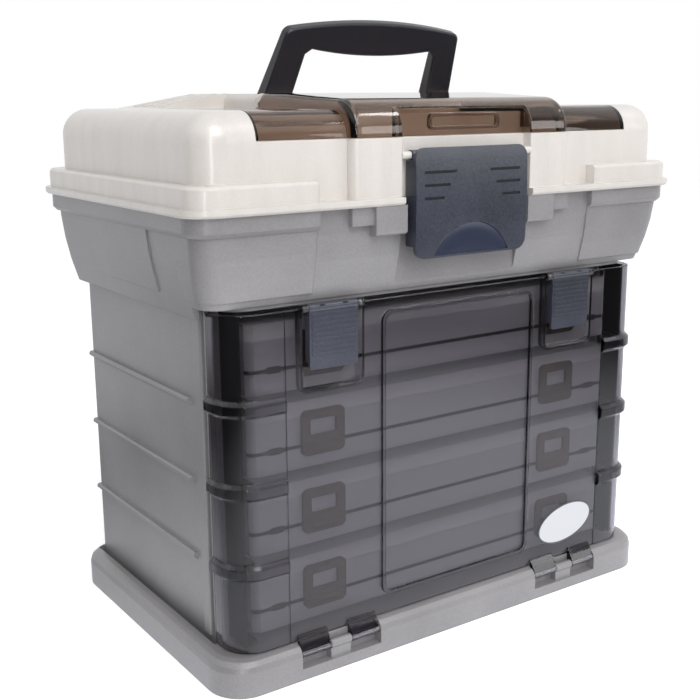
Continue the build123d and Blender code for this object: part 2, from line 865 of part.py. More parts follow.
def lid_skirt():
    """The bead and skirt round the foot of the lid, the skirt open in the middle of the front."""
    bead = plan(bead_width, bead_depth, bead_corner, lid_base_z, skirt_bottom, bead_centre_y)
    bead = chamfer(bead.faces().sort_by(Axis.Z)[0].edges(), bead_round)
    skirt = plan(bead_width - 2 * skirt_inset, bead_depth - 2 * skirt_inset, skirt_corner, skirt_bottom - 1,
                 skirt_top, bead_centre_y)
    skirt = chamfer(top_edges(skirt), skirt_round)
    front = bead_front + skirt_inset
    skirt -= block((-skirt_front_gap, skirt_front_gap), (front - 1, lid_front), (skirt_bottom, skirt_top + 1))
    return bead + skirt


def tongue_outline(gap):
    """Half width, half depth and corner of the tub's tongue, grown by the gap."""
    inset = tub_rim_inset + tub_wall - tongue_wall - gap
    return bead_width - 2 * inset, bead_depth - 2 * inset, tub_corner - tub_wall + tongue_wall + gap


def latch_recess(grow, bottom, top):
    """The space in the middle of the lid's front that the main latch hangs in."""
    half = latch_recess_half + grow
    return block((-half, half), (bead_front - 5, latch_recess_floor + grow), (bottom, top))


def cover_space(gap):
    """The region of the lid that the top cover fills, larger than the cover by the gap."""
    half = cover_half_width + gap
    return block((-half, half), (crest_front - 5, cover_rear + gap), (cover_lower_z - gap, crest_top + 5))


def lid_shell():
    """The lid: a thin shell with a skirt, a handle well, a cover opening and the latch recess."""
    outside = lid_form(0, skirt_bottom - 1) + lid_skirt() + both_sides(ramp())
    body = outside - lid_form(lid_wall, lid_base_z - 1)
    width, depth, corner = tongue_outline(running_gap)
    body -= plan(width, depth, corner, lid_base_z - 1, rim_z + tongue_height + running_gap, bead_centre_y)
    wall_top = cover_lower_z - cover_gap
    lining = latch_recess(lid_wall, skirt_bottom - 1, wall_top) & lid_form(0, skirt_bottom - 1)
    body -= cover_space(cover_gap)
    body += lining
    body -= latch_recess(0, lid_base_z - 1, wall_top + 1)
    body += both_sides(latch_ear())
    pin_reach = latch_recess_half + running_gap
    body -= rod((-pin_reach, pin_reach), latch_axis_y, latch_axis_z, latch_pin_radius)
    body += well_walls() & lid_form(0, skirt_bottom - 1)
    body -= well_space()
    body -= both_sides(rod((well_half_width - 1, handle_pin_end), handle_pivot_y, handle_pivot_z,
                           handle_pin_radius))
    for side in (-1, 1):
        body += cover_hinge_knuckle(side)
    for place in lid_hinge_places:
        body += lid_knuckle(place)
    return body


def well_walls():
    """The block from which the walls and floor of the handle well remain, with its pin bosses."""
    half = well_half_width + lid_wall
    walls = block((-half, half), (cover_rear + cover_gap, well_rear + lid_wall),
                  (well_floor_z - lid_wall, crest_top + 1))
    boss = rod((well_half_width, handle_pin_end + lid_wall), handle_pivot_y, handle_pivot_z, well_boss_radius)
    return walls + both_sides(boss & block((0, bead_width), (well_front, well_rear), (0, lid_top)))


def well_space():
    """The space that the folded handle lies in."""
    half = well_half_width
    return block((-half, half), (well_front, well_rear), (well_floor_z, crest_top + 5))


def cover_hinge_knuckle(side):
    """One of the two knuckles on the front edge of the well that carry the top cover."""
    inner = cover_knuckle_half + running_gap
    outer = cover_hinge_half
    x_range = (inner, outer) if side > 0 else (-outer, -inner)
    web = block(x_range, (cover_hinge_y, cover_rear + cover_gap + 0.5),
                (cover_hinge_z - cover_knuckle_radius, cover_hinge_z + cover_knuckle_radius * 0.6))
    knuckle = web + rod(x_range, cover_hinge_y, cover_hinge_z, cover_knuckle_radius)
    return knuckle - rod((x_range[0] - 1, x_range[1] + 1), cover_hinge_y, cover_hinge_z, cover_pin_radius)


def latch_ear():
    """The right one of the two ears that hold the pin of the main latch."""
    x_range = (latch_half_width + running_gap, latch_recess_half + 0.5)
    ear = rod(x_range, latch_axis_y, latch_axis_z, latch_ear_radius)
    ear += block(x_range, (latch_axis_y, latch_recess_floor + 1),
                 (latch_axis_z - latch_ear_radius, latch_axis_z + latch_ear_radius))
    return ear


def lid_pan():
    """The pan under the top cover: floor, walls and the flange that meets the front wall of the lid."""
    half = cover_half_width + cover_gap + pan_side_gap
    front = lid_front + lid_wall + seat_gap
    rear = cover_rear - pan_rear_gap
    top = lid_top - lid_wall - pan_top_gap
    lip = cover_lower_z - cover_gap
    body = block((-half - pan_wall, half + pan_wall), (front, rear), (pan_floor_z, top))
    body -= block((-half, half), (front + pan_wall, rear - pan_wall), (pan_floor_z + pan_wall, top + 1))
    body -= block((-half, half), (front - 1, front + pan_wall + 1), (lip, top + 1))
    ledge_outer = crest_half_width - 2 * lid_wall - seat_gap
    ledge_inner = latch_recess_half + lid_wall + seat_gap
    ledge = block((ledge_inner, ledge_outer), (crest_front + lid_wall + seat_gap, front + 1),
                  (lip - pan_wall, lip))
    body += both_sides(ledge)
    slot = block((cover_half_width - cover_thickness - cover_gap, cover_half_width + cover_gap),
                 (rear - pan_wall - 1, rear + 1), (lip, top + 1))
    body -= both_sides(slot)
    return body & lid_form(lid_wall + seat_gap, lid_base_z)


def top_cover():
    """The clear cover over the front of the lid, with its finger frame and hinge knuckle."""
    bottom = cover_lower_z - 5
    outside = lid_form(0, bottom) - latch_recess(0, bottom - 1, crest_top)
    inside = lid_form(cover_thickness, bottom) - latch_recess(cover_thickness, bottom - 1, crest_top)
    end = cover_half_width - cover_thickness
    inside &= block((-end, end), (crest_front, cover_rear), (bottom, crest_top))
    body = (outside - inside) & cover_space(0)
    swing = cover_knuckle_radius + running_gap
    clearing = rod((-cover_half_width, cover_half_width), cover_hinge_y, cover_hinge_z, swing)
    rear_strip = block((-crest_half_width - 1, crest_half_width + 1), (cover_hinge_y, cover_rear + 1),
                       (lid_top + running_gap, crest_top + 1))
    body -= clearing + rear_strip
    x_range = (-cover_knuckle_half, cover_knuckle_half)
    knuckle = rod(x_range, cover_hinge_y, cover_hinge_z, cover_knuckle_radius)
    knuckle += block(x_range, (cover_hinge_y - swing - 1, cover_hinge_y),
                     (cover_hinge_z, cover_hinge_z + cover_knuckle_radius))
    body += knuckle
    body -= rod((-cover_knuckle_half - 1, cover_knuckle_half + 1), cover_hinge_y, cover_hinge_z,
                cover_pin_radius + pin_fit)
    return body + finger_frame()


def finger_frame():
    """The rounded frame on the front of the cover that a finger lifts."""
    place = Pos(0, latch_recess_floor + 0.5, tab_centre_z) * Rot(90, 0, 0)
    outer = place * RectangleRounded(tab_width, tab_height, 3.5)
    inner = place * RectangleRounded(tab_width - 2 * tab_rim, tab_height - 2 * tab_rim, 2.0)
    return extrude(outer - inner, tab_proud + 0.5)


def cover_hinge_pin():
    """The pin of the top cover."""
    return rod((-cover_hinge_half, cover_hinge_half), cover_hinge_y, cover_hinge_z, cover_pin_radius)


def handle():
    """The bail handle: tapered legs and a bowed grip, leaning forward on its pins."""
    outer = Polyline((-handle_base_half, -handle_toe), (-handle_top_half, handle_shoulder))
    outer += ThreePointArc((-handle_top_half, handle_shoulder), (0, handle_crown),
                           (handle_top_half, handle_shoulder))
    outer += Polyline((handle_top_half, handle_shoulder), (handle_base_half, -handle_toe),
                      (handle_inner_base_half, -handle_toe), (handle_inner_top_half, handle_inner_top))
    outer += ThreePointArc((handle_inner_top_half, handle_inner_top), (0, handle_belly),
                           (-handle_inner_top_half, handle_inner_top))
    outer += Polyline((-handle_inner_top_half, handle_inner_top), (-handle_inner_base_half, -handle_toe),
                      (-handle_base_half, -handle_toe))
    outline = make_face(outer)
    outline = fillet(corners_at(outline, handle_top_half, handle_shoulder), handle_corner)
    outline = chamfer(corners_at(outline, handle_inner_top_half, handle_inner_top), handle_inner_corner)
    toe = handle_toe_depth / 2
    crown_half = handle_crown_depth / 2
    section = [(-toe, -handle_toe), (toe, -handle_toe), (crown_half, handle_crown),
               (-crown_half, handle_crown)]
    body = extrude(Rot(90, 0, 0) * outline, toe, both=True)
    body &= side_prism(section, (-handle_base_half, handle_base_half))
    body = soften_handle(body)
    body -= both_sides(rod((well_half_width - handle_pin_length, handle_base_half + 2), 0, 0,
                           handle_pin_radius + pin_fit))
    return Pos(0, handle_pivot_y, handle_pivot_z) * Rot(handle_lean, 0, 0) * body


def corners_at(outline, half, height):
    """The two mirrored corners of the handle's outline at a height."""
    return [v for v in outline.vertices() if abs(abs(v.X) - half) < 0.01 and abs(v.Y - height) < 0.01]


def soften_handle(body):
    """The handle with the edges of its front and rear faces broken."""
    above_toe = body.edges().filter_by(lambda edge: edge.center().Z > 0.5 - handle_toe)
    chosen = [edge for edge in above_toe if abs(edge.center().Y) > handle_crown_depth / 3]
    return chamfer(chosen, handle_edge)


def handle_pins():
    """The two pins of the handle, held in the walls of the well."""
    inner = well_half_width - handle_pin_length + 1
    pins = [rod((inner, handle_pin_end), handle_pivot_y, handle_pivot_z, handle_pin_radius),
            rod((-handle_pin_end, -inner), handle_pivot_y, handle_pivot_z, handle_pin_radius)]
    return solids_of(*pins)


def main_latch():
    """The main latch: a bowed plate with side flanges, grooves, a thumb scoop, a knuckle and a lug."""
    middle_z = (latch_top_z + latch_bottom_z) / 2
    high = latch_top_z + latch_trim
    low = latch_bottom_z - latch_trim
    face = ThreePointArc((0, latch_face_y, low), (0, latch_face_y - latch_belly, middle_z),
                         (0, latch_face_y, high))
    back_y = latch_face_y + latch_thickness
    back = ThreePointArc((0, back_y, high), (0, back_y - latch_belly, middle_z), (0, back_y, low))
    ends = [Line((0, latch_face_y, high), (0, back_y, high)),
            Line((0, back_y, low), (0, latch_face_y, low))]
    section = make_face(face + ends[0] + back + ends[1])
    half = latch_half_width
    body = extrude(Pos(-half, 0, 0) * section, 2 * half, dir=(1, 0, 0))
    body &= facing_prism(2 * half, latch_top_z - latch_bottom_z, latch_corner, middle_z,
                         latch_face_y - latch_belly - 1, back_y + 1)
    flange = block((half - latch_flange, half), (back_y - latch_belly, back_y + latch_flange_depth),
                   (latch_bottom_z + latch_corner, latch_top_z - latch_corner))
    body += both_sides(flange)
    knuckle = rod((-half, half), latch_axis_y, latch_axis_z, latch_knuckle_radius)
    knuckle += block((-half, half), (back_y - 0.5, latch_axis_y),
                     (latch_axis_z - latch_knuckle_radius * 0.8, latch_axis_z + 1))
    body += knuckle
    body -= rod((-half - 1, half + 1), latch_axis_y, latch_axis_z, latch_pin_radius + pin_fit)
    lug = block((-latch_lug_half, latch_lug_half), (back_y - latch_belly, keeper_front - latch_lug_gap),
                (keeper_z - keeper_height / 2, keeper_z + keeper_height / 2))
    body += lug
    body -= thumb_scoop()
    for row in range(latch_groove_count):
        body -= both_sides(latch_groove(row))
    return body


def facing_prism(width, height, corner, centre_z, y_low, y_high):
    """A prism along Y with a rounded rectangular front."""
    place = Pos(0, y_high, centre_z) * Rot(90, 0, 0)
    return extrude(place * RectangleRounded(width, height, corner), y_high - y_low)


def thumb_scoop():
    """The half-round shallow recess at the foot of the main latch."""
    half, height = latch_scoop_half, latch_scoop_height
    radius = (half ** 2 + height ** 2) / (2 * height)
    foot = latch_bottom_z + latch_scoop_foot
    depth = latch_belly + latch_scoop_depth
    disc = Pos(0, latch_face_y - latch_belly - 1 + (depth + 1) / 2, foot + height - radius) * Rot(90, 0, 0)
    disc *= Cylinder(radius, depth + 1)
    return disc & block((-half, half), (latch_face_y - 10, latch_face_y + 10), (foot, foot + height))


def latch_groove(row):
    """The right one of a pair of level grooves in the face of the main latch."""
    z = latch_groove_top_z - latch_groove_pitch * row
    inner = latch_groove_outer - latch_groove_length + latch_groove_step * row
    return block((inner, latch_groove_outer),
                 (latch_face_y - latch_belly - 1, latch_face_y - latch_groove_depth),
                 (z - latch_groove_height / 2, z + latch_groove_height / 2))


def main_latch_pin():
    """The pin of the main latch, held in the ears of the lid."""
    half = latch_recess_half + running_gap
    return rod((-half, half), latch_axis_y, latch_axis_z, latch_pin_radius)


def door():
    """The clear door: a panel that wraps round both front corners, with ribs, window and hinges."""
    body = door_wrap(0, door_bottom, door_top)
    for n in range(door_rib_count):
        body += door_rib(door_rib_z + tray_pitch * n)
    body -= door_hollow()
    body -= both_sides(block((door_rib_inner - door_rib_groove, door_rib_inner),
                             (door_front - 1, door_front + door_rib_groove_depth),
                             (door_bottom - 1, door_top + 1)))
    body += window_frame()
    for side in (-1, 1):
        body += flap_pocket(side, flap_pocket_wall) & block((-bead_width, bead_width), (door_front, 0),
                                                            (0, door_top))
        body -= flap_pocket(side, 0)
        body += door_latch_ears(side)
        body += door_knuckles(side)
    return body


def door_wrap(grow, bottom, top):
    """The upright outer form of the door, cut off at its rear edges."""
    rear = cabinet_front - door_gap
    body = plan(2 * (door_half_width + grow), 2 * (rear - door_front + grow), door_corner + grow, bottom, top,
                rear)
    return body - block((-bead_width, bead_width), (rear, -door_front), (bottom - 1, top + 1))


def door_hollow():
    """The space behind the door's panel."""
    rear = cabinet_front - door_gap
    inset = door_thickness
    return plan(2 * (door_half_width - inset), 2 * (rear - door_front - inset), door_corner - inset,
                door_bottom - 1, door_top + 1, rear)


def door_rib(level):
    """One rounded rib round both corners of the door."""
    half = door_rib_half_height
    body = door_wrap(door_rib_proud, level - half, level + half)
    ends = (body.faces().sort_by(Axis.Z)[0], body.faces().sort_by(Axis.Z)[-1])
    rim = [edge for face in ends for edge in face.edges()
           if edge.center().Y < cabinet_front - door_gap - 0.1]
    body = chamfer(rim, door_rib_proud * 0.75)
    return body - block((-door_rib_inner, door_rib_inner), (2 * door_front, -door_front), (0, cabinet_top))


def window_frame():
    """The raised frame round the middle of the door."""
    centre_z = (window_bottom + window_top) / 2
    height = window_top - window_bottom
    outer = facing_prism(2 * window_half_width, height, window_corner, centre_z, door_front - window_proud,
                         door_front + 0.5)
    inner = facing_prism(2 * (window_half_width - window_rim), height - 2 * window_rim,
                         window_corner - window_rim, centre_z, door_front - window_proud - 1, door_front + 1)
    return outer - inner


def flap_pocket(side, grow):
    """The pocket in the door that holds one of its latches, grown by the thickness of its walls."""
    half = flap_half_width + running_gap + flap_ear_width + flap_pocket_margin + grow
    low = flap_bottom_z - flap_pocket_drop - grow
    high = door_top + 2 * flap_pocket_corner + grow
    body = facing_prism(2 * half, high - low, flap_pocket_corner + grow, (low + high) / 2, 2 * door_front,
                        door_front + flap_pocket_depth + grow)
    return Pos(side * flap_place, 0, 0) * body


def door_latch_ears(side):
    """The two ears in a pocket at the top of the door that hold one latch pin."""
    inner = flap_half_width + running_gap
    x_range = (inner, inner + flap_ear_width + flap_pocket_margin + 0.5)
    ear = rod(x_range, flap_axis_y, flap_axis_z, flap_knuckle_radius)
    ear += block(x_range, (flap_axis_y, door_front + flap_pocket_depth + 0.5),
                 (flap_axis_z - flap_knuckle_radius, flap_axis_z))
    ear -= rod((inner - 1, inner + flap_ear_width), flap_axis_y, flap_axis_z, flap_pin_radius)
    return Pos(side * flap_place, 0, 0) * both_sides(ear)


def door_knuckles(side):
    """The two door knuckles of one hinge, on webs from the foot of the panel."""
    body = None
    for end in (-1, 1):
        near = side * hinge_place + end * (hinge_middle_half + hinge_knuckle_gap)
        far = side * hinge_place + end * (hinge_half_width - hinge_knuckle_gap)
        x_range = (min(near, far), max(near, far))
        web = side_prism([(door_front + 1.5, door_bottom + 5), (door_front + 1.5, door_bottom),
                          (door_front, door_bottom - 0.4), (door_hinge_y + door_knuckle_radius, door_hinge_z),
                          (door_hinge_y - 2.8, door_hinge_z + 1.9), (door_hinge_y, door_bottom - 0.5),
                          (door_front - 0.4, door_bottom + 5)], x_range)
        knuckle = web + rod(x_range, door_hinge_y, door_hinge_z, door_knuckle_radius)
        knuckle -= rod((x_range[0] - 1, x_range[1] + 1), door_hinge_y, door_hinge_z,
                       door_pin_radius + pin_fit)
        body = knuckle if body is None else body + knuckle
    return body


def door_latch(side):
    """One door latch: a ribbed flap with side flanges, hung on its knuckle."""
    half = flap_half_width
    back = flap_face_y + flap_thickness
    body = facing_prism(2 * half, flap_length, flap_corner, flap_axis_z - flap_length / 2, flap_face_y, back)
    body += rod((-half, half), flap_axis_y, flap_axis_z, flap_knuckle_radius)
    flange = block((half - flap_flange, half), (back - 0.5, door_front + flap_pocket_depth - running_gap),
                   (flap_bottom_z + flap_pocket_corner, flap_axis_z - 2 * flap_knuckle_radius))
    body += both_sides(flange)
    for n in range(flap_rib_count):
        z = flap_axis_z - flap_knuckle_radius - flap_rib_pitch * n
        body += block((-half + flap_rib_margin, half - flap_rib_margin),
                      (flap_face_y - flap_rib_proud, flap_face_y + 0.5), (z - flap_rib_height, z))
    body -= rod((-half - 1, half + 1), flap_axis_y, flap_axis_z, flap_pin_radius + pin_fit)
    return Pos(side * flap_place, 0, 0) * body


def door_latch_pins():
    """The two pins of the door latches, held in the ears of the door."""
    reach = flap_half_width + running_gap + flap_ear_width
    return solids_of(*[rod((side * flap_place - reach, side * flap_place + reach), flap_axis_y, flap_axis_z,
                           flap_pin_radius) for side in (-1, 1)])


nodes = {
    "base_plinth": base_plinth,
    "cabinet_shell": cabinet_shell,
    "rack_left": lambda: rack(-1),
    "rack_right": lambda: rack(1),
    "upper_tub": upper_tub,
    "lid_shell": lid_shell,
    "lid_pan": lid_pan,
    "lid_hinge_pins": lid_hinge_pins,
    "top_cover": top_cover,
    "top_cover_pin": cover_hinge_pin,
    "handle": handle,
    "handle_pins": handle_pins,
    "main_latch": main_latch,
    "main_latch_pin": main_latch_pin,
    "door": door,
    "door_hinge_pins": door_hinge_pins,
    "door_latch_left": lambda: door_latch(-1),
    "door_latch_right": lambda: door_latch(1),
    "door_latch_pins": door_latch_pins,
}
for index in range(tray_count):
    nodes[f"tray_{index + 1}_base"] = lambda k=index: tray_base(k)
    nodes[f"tray_{index + 1}_lid"] = lambda k=index: tray_lid(k)
    nodes[f"tray_{index + 1}_clasps"] = lambda k=index: tray_clasps(k)
    nodes[f"tray_{index + 1}_dividers"] = lambda k=index: tray_dividers(k)

if __name__ == "__main__":
    os.makedirs("parts", exist_ok=True)
    for name, make in nodes.items():
        export_step(make(), f"parts/{name}.step")
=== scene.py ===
"""Looks of the tackle box: its finishes, small fittings, studio and camera.

The scene is in metres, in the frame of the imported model: +Z up, the front with the door towards -Y.
Sizes of finishes and small fittings are in millimetres, as in the model's source. Those of the
studio and the camera are in metres.
"""

import logging
import math
from dataclasses import dataclass, field
from enum import Enum
from typing import Any

import bmesh
import bpy
from mathutils import Matrix, Vector


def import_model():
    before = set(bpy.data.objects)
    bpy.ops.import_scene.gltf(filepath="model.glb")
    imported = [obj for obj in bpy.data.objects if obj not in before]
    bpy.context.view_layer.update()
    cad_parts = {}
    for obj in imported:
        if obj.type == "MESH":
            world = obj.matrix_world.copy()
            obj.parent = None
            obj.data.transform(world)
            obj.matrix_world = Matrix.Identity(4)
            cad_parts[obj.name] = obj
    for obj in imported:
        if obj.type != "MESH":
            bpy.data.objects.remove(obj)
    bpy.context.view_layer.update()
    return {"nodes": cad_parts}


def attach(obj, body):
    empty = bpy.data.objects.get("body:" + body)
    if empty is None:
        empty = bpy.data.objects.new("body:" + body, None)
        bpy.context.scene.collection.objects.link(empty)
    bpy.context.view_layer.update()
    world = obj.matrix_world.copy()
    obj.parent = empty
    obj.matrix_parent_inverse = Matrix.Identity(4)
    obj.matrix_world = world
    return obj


LOG = logging.getLogger("tackle_box")
MM = 0.001
PLASTIC_IOR = 1.49
EDGE_SAMPLES = 4

Tree = bpy.types.NodeTree
Socket = bpy.types.NodeSocket
Colour = tuple[float, float, float, float]
Span = tuple[float, float]
Point = tuple[float, float, float]
Ring = list[Point]
Outline = list[tuple[float, float]]


class Side(Enum):
    """The two sides of the box, seen from the front, by their sign along X."""

    LEFT = -1
    RIGHT = 1


def linear(hex_code: str) -> Colour:
    """Turns an sRGB hex colour into the linear colour that the shaders use.

    Args:
        hex_code: Six hex digits after a number sign.

    Returns:
        Red, green, blue and an alpha of one.
    """
    values = [int(hex_code[i:i + 2], 16) / 255 for i in (1, 3, 5)]
    # These are the constants of the sRGB standard's transfer curve.
    red, green, blue = (v / 12.92 if v <= 0.04045 else ((v + 0.055) / 1.055) ** 2.4 for v in values)
    return (red, green, blue, 1.0)


def add(tree: Tree, kind: str, settings: dict[str, Any] | None = None,
        sockets: dict[str | int, Any] | None = None) -> bpy.types.Node:
    """Adds one node, with its settings, its socket values and its links.

    Args:
        tree: The node tree that the node joins.
        kind: The node's type name.
        settings: Attributes of the node.
        sockets: Input values, or output sockets to link from, by input name or number.

    Returns:
        The new node.
    """
    node = tree.nodes.new(kind)
    for name, value in (settings or {}).items():
        setattr(node, name, value)
    for name, value in (sockets or {}).items():
        if isinstance(value, Socket):
            tree.links.new(value, node.inputs[name])
        else:
            node.inputs[name].default_value = value
    return node


def noise(tree: Tree, place: Socket, scale: float, detail: float = 2.0,
          roughness: float = 0.5) -> Socket:
    """Adds a cloudy pattern.

    Args:
        tree: The node tree.
        place: The coordinates that the pattern follows.
        scale: How many blotches it has in one unit of the coordinates.
        detail: How many finer layers it has.
        roughness: How strong the finer layers are.

    Returns:
        The pattern's value, from zero to one.
    """
    cloud = add(tree, "ShaderNodeTexNoise", {"noise_dimensions": "3D"},
                {"Vector": place, "Scale": scale, "Detail": detail, "Roughness": roughness})
    return cloud.outputs["Fac"]


def ramp(tree: Tree, value: Socket, given: Span, wanted: Span = (0.0, 1.0),
         smooth: bool = False) -> Socket:
    """Maps one range of values onto another, and holds the ends beyond it.

    Args:
        tree: The node tree.
        value: The value to map.
        given: The range that the value comes in.
        wanted: The range that it is mapped onto.
        smooth: Whether the ends are eased.

    Returns:
        The mapped value.
    """
    mapped = add(tree, "ShaderNodeMapRange",
                 {"interpolation_type": "SMOOTHSTEP" if smooth else "LINEAR"},
                 {"Value": value, "From Min": given[0], "From Max": given[1],
                  "To Min": wanted[0], "To Max": wanted[1]})
    return mapped.outputs["Result"]


def larger(tree: Tree, first: Socket, second: Socket) -> Socket:
    """Gives the larger of two values."""
    return add(tree, "ShaderNodeMath", {"operation": "MAXIMUM"}, {0: first, 1: second}).outputs[0]


def along(tree: Tree, place: Socket, way: Point) -> Socket:
    """Gives how far a place lies along a direction."""
    return add(tree, "ShaderNodeVectorMath", {"operation": "DOT_PRODUCT"},
               {0: place, 1: way}).outputs["Value"]


def blend(tree: Tree, share: Socket, first: Socket, second: Socket) -> Socket:
    """Mixes two shaders: the first at a share of zero, the second at one."""
    return add(tree, "ShaderNodeMixShader", {}, {0: share, 1: first, 2: second}).outputs["Shader"]


def moulded_surface(tree: Tree, height: Socket, height_mm: float, strength: float,
                    edge_mm: float) -> Socket:
    """Adds a fine relief over edges that catch the light as if they were rounded.

    Args:
        tree: The node tree.
        height: The relief's pattern.
        height_mm: The relief's height.
        strength: The relief's strength.
        edge_mm: The radius of the edges.

    Returns:
        The surface's normal.
    """
    edge = add(tree, "ShaderNodeBevel", {"samples": EDGE_SAMPLES}, {"Radius": edge_mm * MM})
    relief = add(tree, "ShaderNodeBump", {},
                 {"Strength": strength, "Distance": height_mm * MM, "Height": height,
                  "Normal": edge.outputs["Normal"]})
    return relief.outputs["Normal"]


def blank_material(name: str) -> tuple[bpy.types.Material, Tree, bpy.types.Node]:
    """Makes a material that holds only its output node.

    Args:
        name: The finish's name.

    Returns:
        The material, its tree and the output node.
    """
    material = bpy.data.materials.new(name)
    material.use_nodes = True
    material.node_tree.nodes.clear()
    return material, material.node_tree, add(material.node_tree, "ShaderNodeOutputMaterial")


@dataclass(frozen=True)
class MouldedPlastic:
    """An opaque moulded plastic: its colour, mica flakes, flow marks, moulded grain and soft shine.

    The flakes of a pearl or silver-grey polypropylene are 0.05 mm, so they are drawn at about 1 mm,
    as a faint change of brightness. The grain is the mould's texture.
    """

    name: str
    colour: str
    roughness: float = 0.4
    unevenness: float = 0.08
    metallic: float = 0.0
    coat: float = 0.0
    coat_roughness: float = 0.18
    flow_mm: Point = (70.0, 70.0, 70.0)
    flow_span: Span = (0.3, 0.7)
    flake_mm: float = 1.2
    flake_share: float = 0.75
    flake_span: Span = (0.55, 1.2)
    flake_strength: float = 0.05
    grain_mm: float = 0.5
    grain_height_mm: float = 0.02
    grain_strength: float = 0.6
    edge_mm: float = 0.8

    def build(self) -> bpy.types.Material:
        """Builds the material.

        Returns:
            The new material.
        """
        material, tree, output = blank_material(self.name)
        place = add(tree, "ShaderNodeTexCoord").outputs["Object"]
        flakes = noise(tree, place, 1 / (self.flake_mm * MM), roughness=0.6)
        stretched = add(tree, "ShaderNodeMapping", {},
                        {"Vector": place, "Scale": tuple(1 / (mm * MM) for mm in self.flow_mm)})
        flow = noise(tree, stretched.outputs["Vector"], 1.0, detail=3.0)
        mixed = add(tree, "ShaderNodeMath", {"operation": "MULTIPLY_ADD"},
                    {0: flakes, 1: self.flake_share, 2: flow})
        lightness = ramp(tree, mixed.outputs[0], self.flake_span,
                         (1.0 - self.flake_strength, 1.0 + self.flake_strength))
        tone = add(tree, "ShaderNodeHueSaturation", {},
                   {"Color": linear(self.colour), "Value": lightness})
        rough = ramp(tree, flow, self.flow_span, (self.roughness * (1.0 - self.unevenness),
                                                  self.roughness * (1.0 + self.unevenness)))
        grain = noise(tree, place, 1 / (self.grain_mm * MM), detail=3.0, roughness=0.6)
        surface = moulded_surface(tree, grain, self.grain_height_mm, self.grain_strength,
                                  self.edge_mm)
        shader = add(tree, "ShaderNodeBsdfPrincipled", {},
                     {"Base Color": tone.outputs["Color"], "Metallic": self.metallic,
                      "Roughness": rough, "IOR": PLASTIC_IOR, "Coat Weight": self.coat,
                      "Coat Roughness": self.coat_roughness, "Normal": surface})
        tree.links.new(shader.outputs["BSDF"], output.inputs["Surface"])
        return material


@dataclass(frozen=True)
class ClearPlastic:
    """A see-through moulded plastic that tints what lies behind it.

    The plastic drinks light along its depth, so a wall shows its tint and an edge or a rib, which
    light crosses lengthwise, looks darker. Shadow rays pass as tinted light, so that what is stored
    behind the wall is lit as it is in the hand.
    """

    name: str
    tint: str
    wall_mm: float = 2.5
    roughness: float = 0.03
    clearness: float = 1.0
    body: str = "#FFFFFF"
    shade: str = "#E0E0E0"
    ripple_mm: float = 60.0
    ripple_height_mm: float = 0.02
    ripple_strength: float = 0.5
    edge_mm: float = 0.5

    def absorption(self) -> tuple[Colour, float]:
        """Finds the volume that tints one wall's depth by the tint.

        Returns:
            The volume's colour and its density.
        """
        per_metre = [-math.log(value) / (self.wall_mm * MM) for value in linear(self.tint)[:3]]
        # Twice the strongest absorption keeps each channel of the colour at a half or more.
        density = 2 * max(per_metre)
        red, green, blue = (1 - value / density for value in per_metre)
        return (red, green, blue, 1.0), density

    def build(self) -> bpy.types.Material:
        """Builds the material.

        Returns:
            The new material.
        """
        material, tree, output = blank_material(self.name)
        place = add(tree, "ShaderNodeTexCoord").outputs["Object"]
        ripple = noise(tree, place, 1 / (self.ripple_mm * MM), roughness=0.4)
        surface = moulded_surface(tree, ripple, self.ripple_height_mm, self.ripple_strength,
                                  self.edge_mm)
        shader = add(tree, "ShaderNodeBsdfPrincipled", {},
                     {"Base Color": linear(self.body), "Roughness": self.roughness,
                      "IOR": PLASTIC_IOR, "Transmission Weight": self.clearness,
                      "Normal": surface})
        passed = add(tree, "ShaderNodeBsdfTransparent", {}, {"Color": linear(self.shade)})
        shadow = add(tree, "ShaderNodeLightPath").outputs["Is Shadow Ray"]
        wall = blend(tree, shadow, shader.outputs["BSDF"], passed.outputs["BSDF"])
        tree.links.new(wall, output.inputs["Surface"])
        colour, density = self.absorption()
        depth = add(tree, "ShaderNodeVolumeAbsorption", {}, {"Color": colour, "Density": density})
        tree.links.new(depth.outputs["Volume"], output.inputs["Volume"])
        return material


@dataclass(frozen=True)
class DrawnSteel:
    """A bright drawn steel wire, with faint lines along its length."""

    name: str
    colour: str = "#B9BABD"
    roughness: float = 0.28
    unevenness: float = 0.2
    line_mm: float = 0.3
    line_stretch: Point = (0.05, 1.0, 1.0)

    def build(self) -> bpy.types.Material:
        """Builds the material.

        Returns:
            The new material.
        """
        material, tree, output = blank_material(self.name)
        place = add(tree, "ShaderNodeTexCoord").outputs["Object"]
        stretched = add(tree, "ShaderNodeMapping", {},
                        {"Vector": place, "Scale": self.line_stretch})
        lines = noise(tree, stretched.outputs["Vector"], 1 / (self.line_mm * MM))
        rough = ramp(tree, lines, (0.0, 1.0), (self.roughness * (1.0 - self.unevenness),
                                               self.roughness * (1.0 + self.unevenness)))
        shader = add(tree, "ShaderNodeBsdfPrincipled", {},
                     {"Base Color": linear(self.colour), "Metallic": 1.0, "Roughness": rough})
        tree.links.new(shader.outputs["BSDF"], output.inputs["Surface"])
        return material


